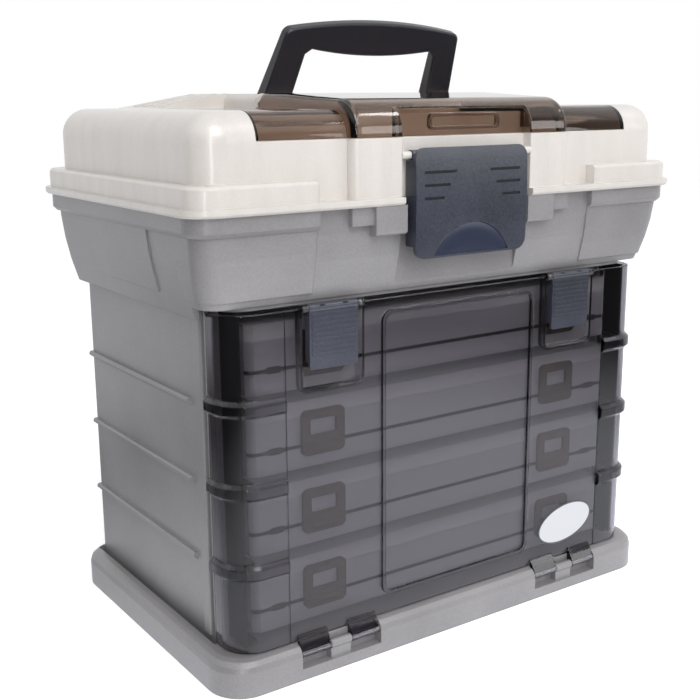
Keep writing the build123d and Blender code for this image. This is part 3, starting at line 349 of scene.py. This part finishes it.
class Finish(Enum):
    """The finishes of the box, by the plastic or metal that each piece is made of, and the near-black
    painted shade of the racks, the tray shadow lines and the latch recesses.
    """

    # A little aluminium flake gives the grey plastic a soft silver sheen over a fine moulded grain.
    CASE = MouldedPlastic("silver_grey_polypropylene_moulded", "#979597", roughness=0.4,
                          metallic=0.15, coat=0.2, coat_roughness=0.26, flake_mm=1.5,
                          flake_strength=0.14, grain_mm=1.2, grain_height_mm=0.06, edge_mm=1.2)
    # The racks' plastic is drawn near black as painted shade, so they read as the shadow behind the
    # door.
    RACK = MouldedPlastic("dark_polypropylene_moulded", "#151517", roughness=0.5)
    # Pearl pigment keeps the lid pale and warm, with a broad soft shine along its rounded corners.
    LID = MouldedPlastic("pearl_polypropylene_moulded", "#DFDAD5", roughness=0.34, metallic=0.08,
                         coat=0.4, coat_roughness=0.16, flow_mm=(14.0, 14.0, 90.0),
                         flake_strength=0.06, edge_mm=1.6)
    # Black ABS from a polished mould shows clear, narrow highlights along its edges.
    HANDLE = MouldedPlastic("black_abs_moulded", "#26272F", roughness=0.3, flake_strength=0.02,
                            edge_mm=1.6)
    # The latches' spark-eroded grain breaks the shine into a dull glitter. At 1.6 mm it shows.
    LATCH = MouldedPlastic("charcoal_abs_textured", "#3C3F4B", roughness=0.32, coat=0.4,
                           flake_mm=1.6, flake_strength=0.5, grain_mm=1.6, grain_height_mm=0.22,
                           edge_mm=0.35)
    # The thumb scoop is polished, so it keeps a smooth blue-black shine inside the grain.
    SCOOP = MouldedPlastic("charcoal_abs_polished", "#30364A", roughness=0.2, coat=0.4,
                           flake_strength=0.02, grain_height_mm=0.004, edge_mm=0.2)
    # A moulded recess reads as a dark line, because little light comes out of it: the near-black
    # piece laid in it is painted shade.
    RECESS_SHADE = MouldedPlastic("painted_recess_shade", "#14161C", roughness=0.5, grain_height_mm=0.01,
                            edge_mm=0.1)
    # Smoke-brown styrene is clear as glass, darker where it is seen along its depth.
    COVER = ClearPlastic("smoke_brown_styrene_moulded", "#D4CBC4", wall_mm=2.4, body="#F2EDEA",
                         shade="#E7E1DC", edge_mm=1.0)
    # Behind smoke-grey styrene all stays sharp, and ribs and edges draw dark and light lines.
    DOOR = ClearPlastic("smoke_grey_styrene_moulded", "#C9C8CC", wall_mm=2.6, body="#F5F3F3",
                        shade="#EAE8E8", edge_mm=1.2)
    # Clear polypropylene is a touch milky, which blurs what lies in the trays.
    TRAY = ClearPlastic("clear_polypropylene_moulded", "#F2F3F5", wall_mm=1.8, body="#F8F7F7",
                        shade="#F4F4F4", roughness=0.08, clearness=0.72, ripple_mm=30.0)
    # The clasps are thicker and warm brown, cloudy from their moulding.
    CLASP = ClearPlastic("smoke_polypropylene_moulded", "#7A5443", wall_mm=2.6, body="#A07A64",
                         shade="#A08E86", roughness=0.18, clearness=0.8)
    # Wire drawn through a die is bright, with faint lines along it.
    PIN = DrawnSteel("drawn_steel_wire")
    # The label is a printed vinyl film: its grey edge line draws the oval on the smoke-grey door.
    LABEL_EDGE = MouldedPlastic("printed_vinyl_edge", "#55585E", roughness=0.35,
                                flake_strength=0.0, grain_height_mm=0.002, edge_mm=0.1)
    # The film's silver-white field is the palest spot on the door, with a faint metal sheen.
    LABEL_FIELD = MouldedPlastic("silver_vinyl_film", "#D9DADD", roughness=0.3, metallic=0.25,
                                 flake_strength=0.03, grain_height_mm=0.002, edge_mm=0.1)

    def material(self) -> bpy.types.Material:
        """Gives the finish's material, which is built once."""
        found = bpy.data.materials.get(self.value.name)
        return found or self.value.build()


def dress(part: bpy.types.Object, finish: Finish) -> None:
    """Gives a part one finish.

    Args:
        part: The mesh to dress.
        finish: The finish that it takes.
    """
    part.data.materials.clear()
    part.data.materials.append(finish.material())


@dataclass
class CarriedParts:
    """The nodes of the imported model, each in the finish of the piece that it is."""

    nodes: dict[str, bpy.types.Object]
    finishes: dict[str, Finish] = field(default_factory=lambda: {
        "base_plinth": Finish.CASE, "cabinet_shell": Finish.CASE, "upper_tub": Finish.CASE,
        # The racks take a near-black painted shade in place of their own plastic's colour.
        "rack_left": Finish.RACK, "rack_right": Finish.RACK,
        "lid_shell": Finish.LID, "lid_pan": Finish.LID,
        "top_cover": Finish.COVER, "handle": Finish.HANDLE, "door": Finish.DOOR,
        "main_latch": Finish.LATCH, "door_latch_left": Finish.LATCH,
        "door_latch_right": Finish.LATCH,
    })
    tray_finishes: dict[str, Finish] = field(default_factory=lambda: {
        "base": Finish.TRAY, "lid": Finish.TRAY, "dividers": Finish.TRAY, "clasps": Finish.CLASP,
    })

    def dress_all(self) -> None:
        """Dresses every node: the trays by the last word of their names, and pins in steel."""
        for name, part in self.nodes.items():
            finish = self.finishes.get(name)
            if finish is None and name.startswith("tray_"):
                finish = self.tray_finishes[name.rsplit("_", 1)[1]]
            dress(part, finish or Finish.PIN)
        LOG.info("dressed %d nodes", len(self.nodes))


def ringed_mesh(name: str, rings: list[Ring], finishes: list[Finish], smooth: bool = True,
                ring_finish: list[int] | None = None) -> bpy.types.Object:
    """Builds a mesh from closed rings of points, joined by quads and closed at both ends.

    Args:
        name: The piece's name.
        rings: Rings with one count of points, in millimetres, from the first end to the last.
        finishes: The finishes of the piece. The first end takes the first one.
        smooth: Whether the quads are shaded smooth.
        ring_finish: The finish's number of each band between rings and of the last end.

    Returns:
        The new object, linked into the scene.
    """
    made = bmesh.new()
    loops = [[made.verts.new([v * MM for v in point]) for point in ring] for ring in rings]
    count = len(rings[0])
    for band, (low, high) in enumerate(zip(loops, loops[1:])):
        for i in range(count):
            after = (i + 1) % count
            face = made.faces.new((low[i], low[after], high[after], high[i]))
            face.smooth = smooth
            face.material_index = ring_finish[band] if ring_finish else 0
    made.faces.new(loops[0][::-1])
    made.faces.new(loops[-1]).material_index = ring_finish[-1] if ring_finish else 0
    bmesh.ops.recalc_face_normals(made, faces=made.faces)
    mesh = bpy.data.meshes.new(name)
    made.to_mesh(mesh)
    made.free()
    piece = bpy.data.objects.new(name, mesh)
    for finish in finishes:
        mesh.materials.append(finish.material())
    bpy.context.scene.collection.objects.link(piece)
    return piece


@dataclass
class ScrewHeads:
    """The cross-recessed pan heads that hold the tub to the cabinet."""

    head_radius: float = 4.2
    head_height: float = 2.2
    flank: tuple[Span, ...] = ((1.0, -0.05), (1.0, 0.5), (0.92, 1.3), (0.7, 1.9))
    crown_share: float = 1.25
    recess_half: float = 2.2
    recess_width: float = 0.55
    recess_depth: float = 1.3
    recess_steps: int = 3
    tub_places: tuple[Span, ...] = ((-150.0, -75.0), (0.0, -75.0), (150.0, -75.0),
                                    (-150.0, 90.0), (0.0, 90.0), (150.0, 90.0))
    tub_z: float = 284.0

    def cross(self) -> Outline:
        """Draws the recess.

        Returns:
            Its outline, with a few points for each of its twelve sides.
        """
        half, arm, steps = self.recess_half, self.recess_width, self.recess_steps
        corners = [(half, -arm), (half, arm), (arm, arm), (arm, half), (-arm, half), (-arm, arm),
                   (-half, arm), (-half, -arm), (-arm, -arm), (-arm, -half), (arm, -half),
                   (arm, -arm)]
        points = []
        for (x0, y0), (x1, y1) in zip(corners, corners[1:] + corners[:1]):
            points += [(x0 + (x1 - x0) * step / steps, y0 + (y1 - y0) * step / steps)
                       for step in range(steps)]
        return points

    def circle(self, radius: float) -> Outline:
        """Draws a circle with as many points as the cross.

        Args:
            radius: The circle's radius.

        Returns:
            Its outline. The first point lies beside the first point of the cross.
        """
        count = len(self.cross())
        start = math.atan2(-self.recess_width, self.recess_half)
        angles = [start + 2 * math.pi / count * i for i in range(count)]
        return [(radius * math.cos(angle), radius * math.sin(angle)) for angle in angles]

    def build_one(self, name: str, place: Point) -> bpy.types.Object:
        """Builds one head.

        Args:
            name: The piece's name.
            place: The middle of its seat, in millimetres.

        Returns:
            The new head.
        """
        x, y, z = place
        levels = [(self.circle(self.head_radius * share), height) for share, height in self.flank]
        levels += [(self.circle(self.recess_half * self.crown_share), self.head_height),
                   (self.cross(), self.head_height),
                   (self.cross(), self.head_height - self.recess_depth)]
        rings = [[(x + px, y + py, z + height) for px, py in outline] for outline, height in levels]
        return ringed_mesh(name, rings, [Finish.PIN], smooth=False)

    def build(self) -> None:
        """Builds all the heads, each on the piece that it holds."""
        for number, (x, y) in enumerate(self.tub_places):
            head = self.build_one(f"tub_screw_{number + 1}", (x, y, self.tub_z))
            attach(head, "case")
        LOG.info("built %d screw heads in the tub", len(self.tub_places))


@dataclass
class ThumbScoop:
    """The polished bowl in the foot of the main latch, from its rim to its deepest middle."""

    half: float = 35.8
    foot: float = 305.15
    top: float = 327.85
    floor_y: float = -139.95
    floor_clear: float = 0.1
    belly_y: float = -142.0
    belly_drop: float = 1.5
    belly_middle: float = 343.25
    belly_half: float = 39.75
    rim_sunk: float = 0.3
    centre_z: float = 313.0
    arc_steps: int = 36
    foot_steps: int = 8
    shares: tuple[float, ...] = (1.0, 0.95, 0.88, 0.78, 0.65, 0.5, 0.32, 0.12)
    steepness: int = 3

    def outline(self) -> Outline:
        """Draws the bowl's edge.

        Returns:
            The points of the arc from right to left, then those of the straight foot.
        """
        height = self.top - self.foot
        radius = (self.half ** 2 + height ** 2) / (2 * height)
        start = math.asin((radius - height) / radius)
        turn = (math.pi - 2 * start) / self.arc_steps
        arc = []
        for i in range(self.arc_steps + 1):
            angle = start + turn * i
            arc.append((radius * math.cos(angle), self.top - radius + radius * math.sin(angle)))
        return arc + [(self.half * (2 * i / self.foot_steps - 1), self.foot)
                      for i in range(1, self.foot_steps)]

    def face(self, z: float) -> float:
        """Gives the place of the bowed plate's front along Y, at a height."""
        return self.belly_y + self.belly_drop * ((z - self.belly_middle) / self.belly_half) ** 2

    def build(self) -> None:
        """Builds the bowl on the main latch."""
        edge = self.outline()
        rings = [[(x, self.floor_y, z) for x, z in edge]]
        for share in self.shares:
            deep = 1 - share ** self.steepness
            ring = []
            for x, z in edge:
                place_z = self.centre_z + share * (z - self.centre_z)
                rim_y = self.face(place_z) + self.rim_sunk
                drop = self.floor_y - self.floor_clear - rim_y
                ring.append((share * x, rim_y + deep * drop, place_z))
            rings.append(ring)
        bowl = ringed_mesh("main_latch_scoop", rings, [Finish.SCOOP])
        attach(bowl, "main_latch")
        LOG.info("built the thumb scoop's polished bowl")


@dataclass
class LatchRecessShade:
    """Near-black pieces painted as shade in the main latch's level grooves and in the two notches in
    each door latch's top.
    """

    groove_top_z: float = 365.5
    groove_pitch: float = 9.3
    groove_count: int = 3
    groove_outer: float = 45.9
    groove_inner: float = 16.1
    groove_step: float = 6.0
    groove_half_height: float = 1.0
    groove_y: Span = (-141.2, -141.42)
    latch_place: float = 117.0
    notch_offset: float = 9.6
    notch_half_width: float = 2.4
    notch_half_height: float = 1.3
    notch_z: float = 276.6
    notch_y: Span = (-128.0, -130.5)
    end_points: int = 7

    def slot_shape(self, low: float, high: float, z: float, half_height: float) -> Outline:
        """Draws a level slot with round ends.

        Args:
            low: Its lowest place along X.
            high: Its highest place along X.
            z: The height of its middle line.
            half_height: Half its height, which is the radius of its ends.

        Returns:
            Its outline.
        """
        outline = []
        for centre, start in ((high - half_height, -math.pi / 2),
                              (low + half_height, math.pi / 2)):
            for i in range(self.end_points):
                angle = start + math.pi * i / (self.end_points - 1)
                outline.append((centre + half_height * math.cos(angle),
                                z + half_height * math.sin(angle)))
        return outline

    def build_one(self, name: str, outline: Outline, depths: Span, body: str) -> None:
        """Builds one near-black piece at a recess, painted shade.

        Args:
            name: The piece's name.
            outline: Its outline.
            depths: Its rear and front faces along Y.
            body: The body that it rides on.
        """
        rings = [[(x, y, z) for x, z in outline] for y in depths]
        # The piece is painted shade: near black where the recess falls dark.
        piece = ringed_mesh(name, rings, [Finish.RECESS_SHADE], smooth=False)
        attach(piece, body)

    def build_grooves(self, side: Side) -> None:
        """Builds the painted shade in the main latch's grooves, each shorter than the one above it.

        Args:
            side: The side of the latch that they are on.
        """
        for row in range(self.groove_count):
            inner = self.groove_inner + self.groove_step * row
            ends = sorted((side.value * inner, side.value * self.groove_outer))
            outline = self.slot_shape(*ends, self.groove_top_z - self.groove_pitch * row,
                                      self.groove_half_height)
            self.build_one(f"main_latch_groove_{side.name.lower()}_{row + 1}", outline,
                           self.groove_y, "main_latch")

    def build_notches(self, side: Side) -> None:
        """Builds the painted shade in the two notches of one door latch.

        Args:
            side: The side of the door that the latch is on.
        """
        latch = f"door_latch_{side.name.lower()}"
        for number, way in enumerate(Side):
            x = side.value * self.latch_place + way.value * self.notch_offset
            outline = self.slot_shape(x - self.notch_half_width, x + self.notch_half_width,
                                      self.notch_z, self.notch_half_height)
            self.build_one(f"{latch}_notch_{number + 1}", outline, self.notch_y, latch)

    def build(self) -> None:
        """Builds the painted shade in the grooves and the notches."""
        for side in Side:
            self.build_grooves(side)
            self.build_notches(side)
        LOG.info("built the painted shade of the latch recesses")


@dataclass
class TrayShadowLines:
    """A near-black strip across the front of each tray, with a thicker patch near each end: painted
    shadow under the tray's moulded ledge.
    """

    count: int = 4
    first_z: float = 52.0
    pitch: float = 60.0
    half_width: float = 178.0
    front: float = -113.0
    corner: float = 5.0
    corner_steps: int = 6
    height: float = 2.6
    patch_height: float = 5.0
    patch_place: float = 158.0
    patch_half_length: float = 5.0
    patch_ramp: float = 1.5
    proud: float = 0.35
    sunk: float = 0.25

    def bend(self, first_angle: float, centre_x: float) -> list[tuple[float, ...]]:
        """Follows the painted shadow line round one front corner of a tray.

        Args:
            first_angle: The outward direction at the bend's start, in radians.
            centre_x: The middle of the bend along X.

        Returns:
            Places, outward directions and heights.
        """
        stations = []
        for step in range(self.corner_steps + 1):
            angle = first_angle + math.pi / 2 / self.corner_steps * step
            out_x, out_y = math.cos(angle), math.sin(angle)
            stations.append((centre_x + self.corner * out_x,
                             self.front + self.corner + self.corner * out_y,
                             out_x, out_y, self.height))
        return stations

    def path(self) -> list[tuple[float, ...]]:
        """Follows the painted shadow line from left to right.

        Returns:
            Places, outward directions and heights.
        """
        line = self.bend(math.pi, self.corner - self.half_width)
        reach = self.patch_half_length + self.patch_ramp
        for side in Side:
            for offset, height in ((-reach, self.height), (-self.patch_half_length, self.patch_height),
                                   (self.patch_half_length, self.patch_height), (reach, self.height)):
                line.append((side.value * self.patch_place + offset, self.front, 0.0, -1.0, height))
        return line + self.bend(1.5 * math.pi, self.half_width - self.corner)

    def build(self) -> None:
        """Builds one painted shadow line on each tray."""
        # Each strip is painted shadow, in the same near-black painted shade as the racks.
        section = ((-self.sunk, -0.5), (self.proud, -0.5), (self.proud, 0.5), (-self.sunk, 0.5))
        for number in range(self.count):
            z = self.first_z + self.pitch * number
            rings = [[(x + out * out_x, y + out * out_y, z + up * height) for out, up in section]
                     for x, y, out_x, out_y, height in self.path()]
            shadow_line = ringed_mesh(f"tray_seam_{number + 1}", rings, [Finish.RACK], smooth=False)
            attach(shadow_line, "case")
        LOG.info("built %d tray shadow lines", self.count)


@dataclass
class DoorLabel:
    """The plain oval label on the door, with a grey edge and a silver-white field."""

    centre: Point = (121.5, -129.0, 58.0)
    half_width: float = 31.5
    half_height: float = 17.0
    rim: float = 1.4
    thickness: float = 0.25
    sunk: float = 0.05
    tilt_deg: float = 9.0
    points: int = 72

    def oval(self, drawn_in: float, proud: float) -> Ring:
        """Draws one oval.

        Args:
            drawn_in: How far it lies inside the label's edge.
            proud: How far it stands off the door.

        Returns:
            The ring's points.
        """
        tilt = math.radians(self.tilt_deg)
        middle_x, middle_y, middle_z = self.centre
        ring = []
        for i in range(self.points):
            angle = 2 * math.pi * i / self.points
            across = (self.half_width - drawn_in) * math.cos(angle)
            up = (self.half_height - drawn_in) * math.sin(angle)
            ring.append((middle_x + across * math.cos(tilt) - up * math.sin(tilt),
                         middle_y - proud,
                         middle_z + across * math.sin(tilt) + up * math.cos(tilt)))
        return ring

    def build(self) -> None:
        """Builds the label on the door."""
        rings = [self.oval(0.0, -self.sunk), self.oval(0.0, self.thickness),
                 self.oval(self.rim, self.thickness)]
        label = ringed_mesh("door_label", rings, [Finish.LABEL_FIELD, Finish.LABEL_EDGE],
                            smooth=False, ring_finish=[1, 1, 0])
        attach(label, "door")
        LOG.info("built the plain oval label on the door")


@dataclass(frozen=True)
class Lamp:
    """One soft lamp of the studio: where it hangs, what it faces, its size and its power."""

    name: str
    place: Point
    aim: Point
    size: Span
    watts: float

    def build(self) -> None:
        """Hangs the lamp."""
        data = bpy.data.lights.new(self.name, "AREA")
        data.shape = "RECTANGLE"
        data.size, data.size_y = self.size
        data.energy = self.watts
        lamp = bpy.data.objects.new(self.name, data)
        lamp.location = self.place
        facing = Vector(self.aim) - Vector(self.place)
        lamp.rotation_euler = facing.to_track_quat("-Z", "Y").to_euler()
        bpy.context.scene.collection.objects.link(lamp)


@dataclass
class Studio:
    """The floor, the backdrop light and the soft lamps of a product photograph."""

    floor_half_width: float = 6.0
    floor_z: float = -0.0003
    floor_colour: str = "#F4F4F4"
    floor_roughness: Span = (0.85, 0.95)
    floor_specular: float = 0.2
    floor_glow: float = 0.6
    fibres_per_metre: float = 900.0
    pool_centre: Point = (0.1, -0.35, 0.0)
    pool_edge: Span = (0.25, 1.0)
    pool_strength: float = 1.6
    pool_colour: str = "#F1F3FA"
    table_strength: float = 0.08
    sweep_edge: Span = (0.1, 0.4)
    backdrop_way: Point = (0.567, 0.824, 0.0)
    world_colour: str = "#FFFFFF"
    world_strength: float = 0.42
    room_edge: Span = (-0.35, 0.45)
    room_strength: float = 0.08
    ceiling_edge: Span = (0.3, 0.6)
    lamps: tuple[Lamp, ...] = (
        Lamp("key", (-0.35, -1.95, 2.2), (0.0, 0.0, 0.25), (1.6, 1.6), 35.0),
        Lamp("edge", (1.4, -0.9, 2.1), (0.0, 0.0, 0.2), (0.35, 0.35), 4.5),
        Lamp("front", (1.6, -2.0, 0.85), (0.0, 0.0, 0.3), (0.75, 0.75), 6.5),
        Lamp("corner", (-1.6, -2.6, 1.0), (0.0, 0.0, 1.0), (0.3, 1.9), 16.0),
    )

    def build(self) -> None:
        """Builds the floor, the world and the lamps."""
        self.build_floor()
        self.build_world()
        for lamp in self.lamps:
            lamp.build()
        LOG.info("built the studio with %d lamps", len(self.lamps))

    def paper(self, tree: Tree, place: Socket, ray: bpy.types.Node) -> Socket:
        """Adds the matt white paper, which camera and glass rays see a little brighter than lit.

        Args:
            tree: The floor's node tree.
            place: The floor's own coordinates.
            ray: The node that tells the kinds of rays apart.

        Returns:
            The paper's shader.
        """
        rough = ramp(tree, noise(tree, place, self.fibres_per_metre), (0.0, 1.0),
                     self.floor_roughness)
        matt = add(tree, "ShaderNodeBsdfPrincipled", {},
                   {"Base Color": linear(self.floor_colour), "Roughness": rough,
                    "Specular IOR Level": self.floor_specular})
        glow = add(tree, "ShaderNodeEmission", {},
                   {"Color": linear(self.world_colour), "Strength": self.floor_glow})
        lit = add(tree, "ShaderNodeAddShader", {},
                  {0: matt.outputs["BSDF"], 1: glow.outputs["Emission"]})
        seen = larger(tree, ray.outputs["Is Camera Ray"], ray.outputs["Is Transmission Ray"])
        return blend(tree, seen, matt.outputs["BSDF"], lit.outputs["Shader"])

    def table(self, tree: Tree, place: Socket) -> Socket:
        """Adds what mirror and glass rays meet: a pool of light, a dark table, the white sweep.

        Args:
            tree: The floor's node tree.
            place: The floor's own coordinates.

        Returns:
            The table's shader.
        """
        away = add(tree, "ShaderNodeVectorMath", {"operation": "DISTANCE"},
                   {0: place, 1: self.pool_centre})
        pool = ramp(tree, away.outputs["Value"], self.pool_edge,
                    (self.pool_strength, self.table_strength), smooth=True)
        sweep = ramp(tree, along(tree, place, self.backdrop_way), self.sweep_edge, smooth=True)
        shine = add(tree, "ShaderNodeEmission", {},
                    {"Color": linear(self.pool_colour), "Strength": larger(tree, pool, sweep)})
        return shine.outputs["Emission"]

    def build_floor(self) -> None:
        """Makes the pale floor, which camera rays see as plain white away from the shadow.

        Mirror and glass rays see what a studio shows them: a pool of light before the box, the
        darker table round it and the white sweep behind. The floor's underside is clear, so that
        the box can be seen from below.
        """
        half, low = self.floor_half_width, self.floor_z
        mesh = bpy.data.meshes.new("floor")
        mesh.from_pydata([(-half, -half, low), (half, -half, low), (half, half, low),
                          (-half, half, low)], [], [(0, 1, 2, 3)])
        floor = bpy.data.objects.new("floor", mesh)
        bpy.context.scene.collection.objects.link(floor)
        material, tree, output = blank_material("matt_white_paper")
        place = add(tree, "ShaderNodeTexCoord").outputs["Object"]
        ray = add(tree, "ShaderNodeLightPath")
        upper = blend(tree, ray.outputs["Is Glossy Ray"], self.paper(tree, place, ray),
                      self.table(tree, place))
        below = add(tree, "ShaderNodeNewGeometry").outputs["Backfacing"]
        clear = add(tree, "ShaderNodeBsdfTransparent").outputs["BSDF"]
        tree.links.new(blend(tree, below, upper, clear), output.inputs["Surface"])
        mesh.materials.append(material)

    def build_world(self) -> None:
        """Lights the scene evenly, and shows a white backdrop to camera, mirror and glass rays.

        Mirror and glass rays that turn back see the dim room behind the camera, which draws the
        dark lines along the clear pieces.
        """
        world = bpy.data.worlds.new("studio")
        bpy.context.scene.world = world
        world.use_nodes = True
        tree = world.node_tree
        tree.nodes.clear()
        ray = add(tree, "ShaderNodeLightPath")
        camera, mirror = ray.outputs["Is Camera Ray"], ray.outputs["Is Glossy Ray"]
        seen = larger(tree, larger(tree, camera, ray.outputs["Is Transmission Ray"]), mirror)
        light = add(tree, "ShaderNodeBackground", {},
                    {"Color": linear(self.world_colour), "Strength": self.world_strength})
        place = add(tree, "ShaderNodeTexCoord").outputs["Generated"]
        backdrop = ramp(tree, along(tree, place, self.backdrop_way), self.room_edge,
                        (self.room_strength, 1.0), smooth=True)
        axes = add(tree, "ShaderNodeSeparateXYZ", {}, {"Vector": place})
        ceiling = ramp(tree, axes.outputs["Z"], self.ceiling_edge, smooth=True)
        brightness = larger(tree, larger(tree, backdrop, ceiling), camera)
        shown = add(tree, "ShaderNodeBackground", {},
                    {"Color": linear(self.world_colour), "Strength": brightness})
        sky = blend(tree, seen, light.outputs["Background"], shown.outputs["Background"])
        add(tree, "ShaderNodeOutputWorld", {}, {"Surface": sky})


@dataclass
class PhotoCamera:
    """The camera at the photograph's place, found from the edges of the box."""

    place: Point = (-0.5379, -0.7615, 0.4192)
    heading_deg: float = 34.52
    downward_deg: float = 13.02
    roll_deg: float = -0.40
    lens_mm: float = 56.52
    sensor_mm: float = 36.0

    def build(self) -> None:
        """Adds the camera and makes it the scene's."""
        heading, down = math.radians(self.heading_deg), math.radians(self.downward_deg)
        roll = math.radians(self.roll_deg)
        view = Vector((math.sin(heading) * math.cos(down), math.cos(heading) * math.cos(down),
                       -math.sin(down)))
        level = Vector((math.cos(heading), -math.sin(heading), 0.0))
        upright = level.cross(view)
        right = level * math.cos(roll) + upright * math.sin(roll)
        up = upright * math.cos(roll) - level * math.sin(roll)
        turn = Matrix((right, up, -view)).transposed().to_4x4()
        data = bpy.data.cameras.new("photo_camera")
        data.lens = self.lens_mm
        data.sensor_width = self.sensor_mm
        camera = bpy.data.objects.new("photo_camera", data)
        camera.matrix_world = Matrix.Translation(Vector(self.place)) @ turn
        bpy.context.scene.collection.objects.link(camera)
        bpy.context.scene.camera = camera
        LOG.info("placed the camera")


def main() -> None:
    """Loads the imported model, dresses it and sets up the studio."""
    logging.basicConfig(level=logging.INFO, format="%(name)s: %(message)s")
    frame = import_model()
    bpy.context.scene.view_settings.view_transform = "Standard"
    CarriedParts(frame["nodes"]).dress_all()
    ScrewHeads().build()
    ThumbScoop().build()
    LatchRecessShade().build()
    TrayShadowLines().build()
    DoorLabel().build()
    Studio().build()
    PhotoCamera().build()


if __name__ == "__main__":
    main()
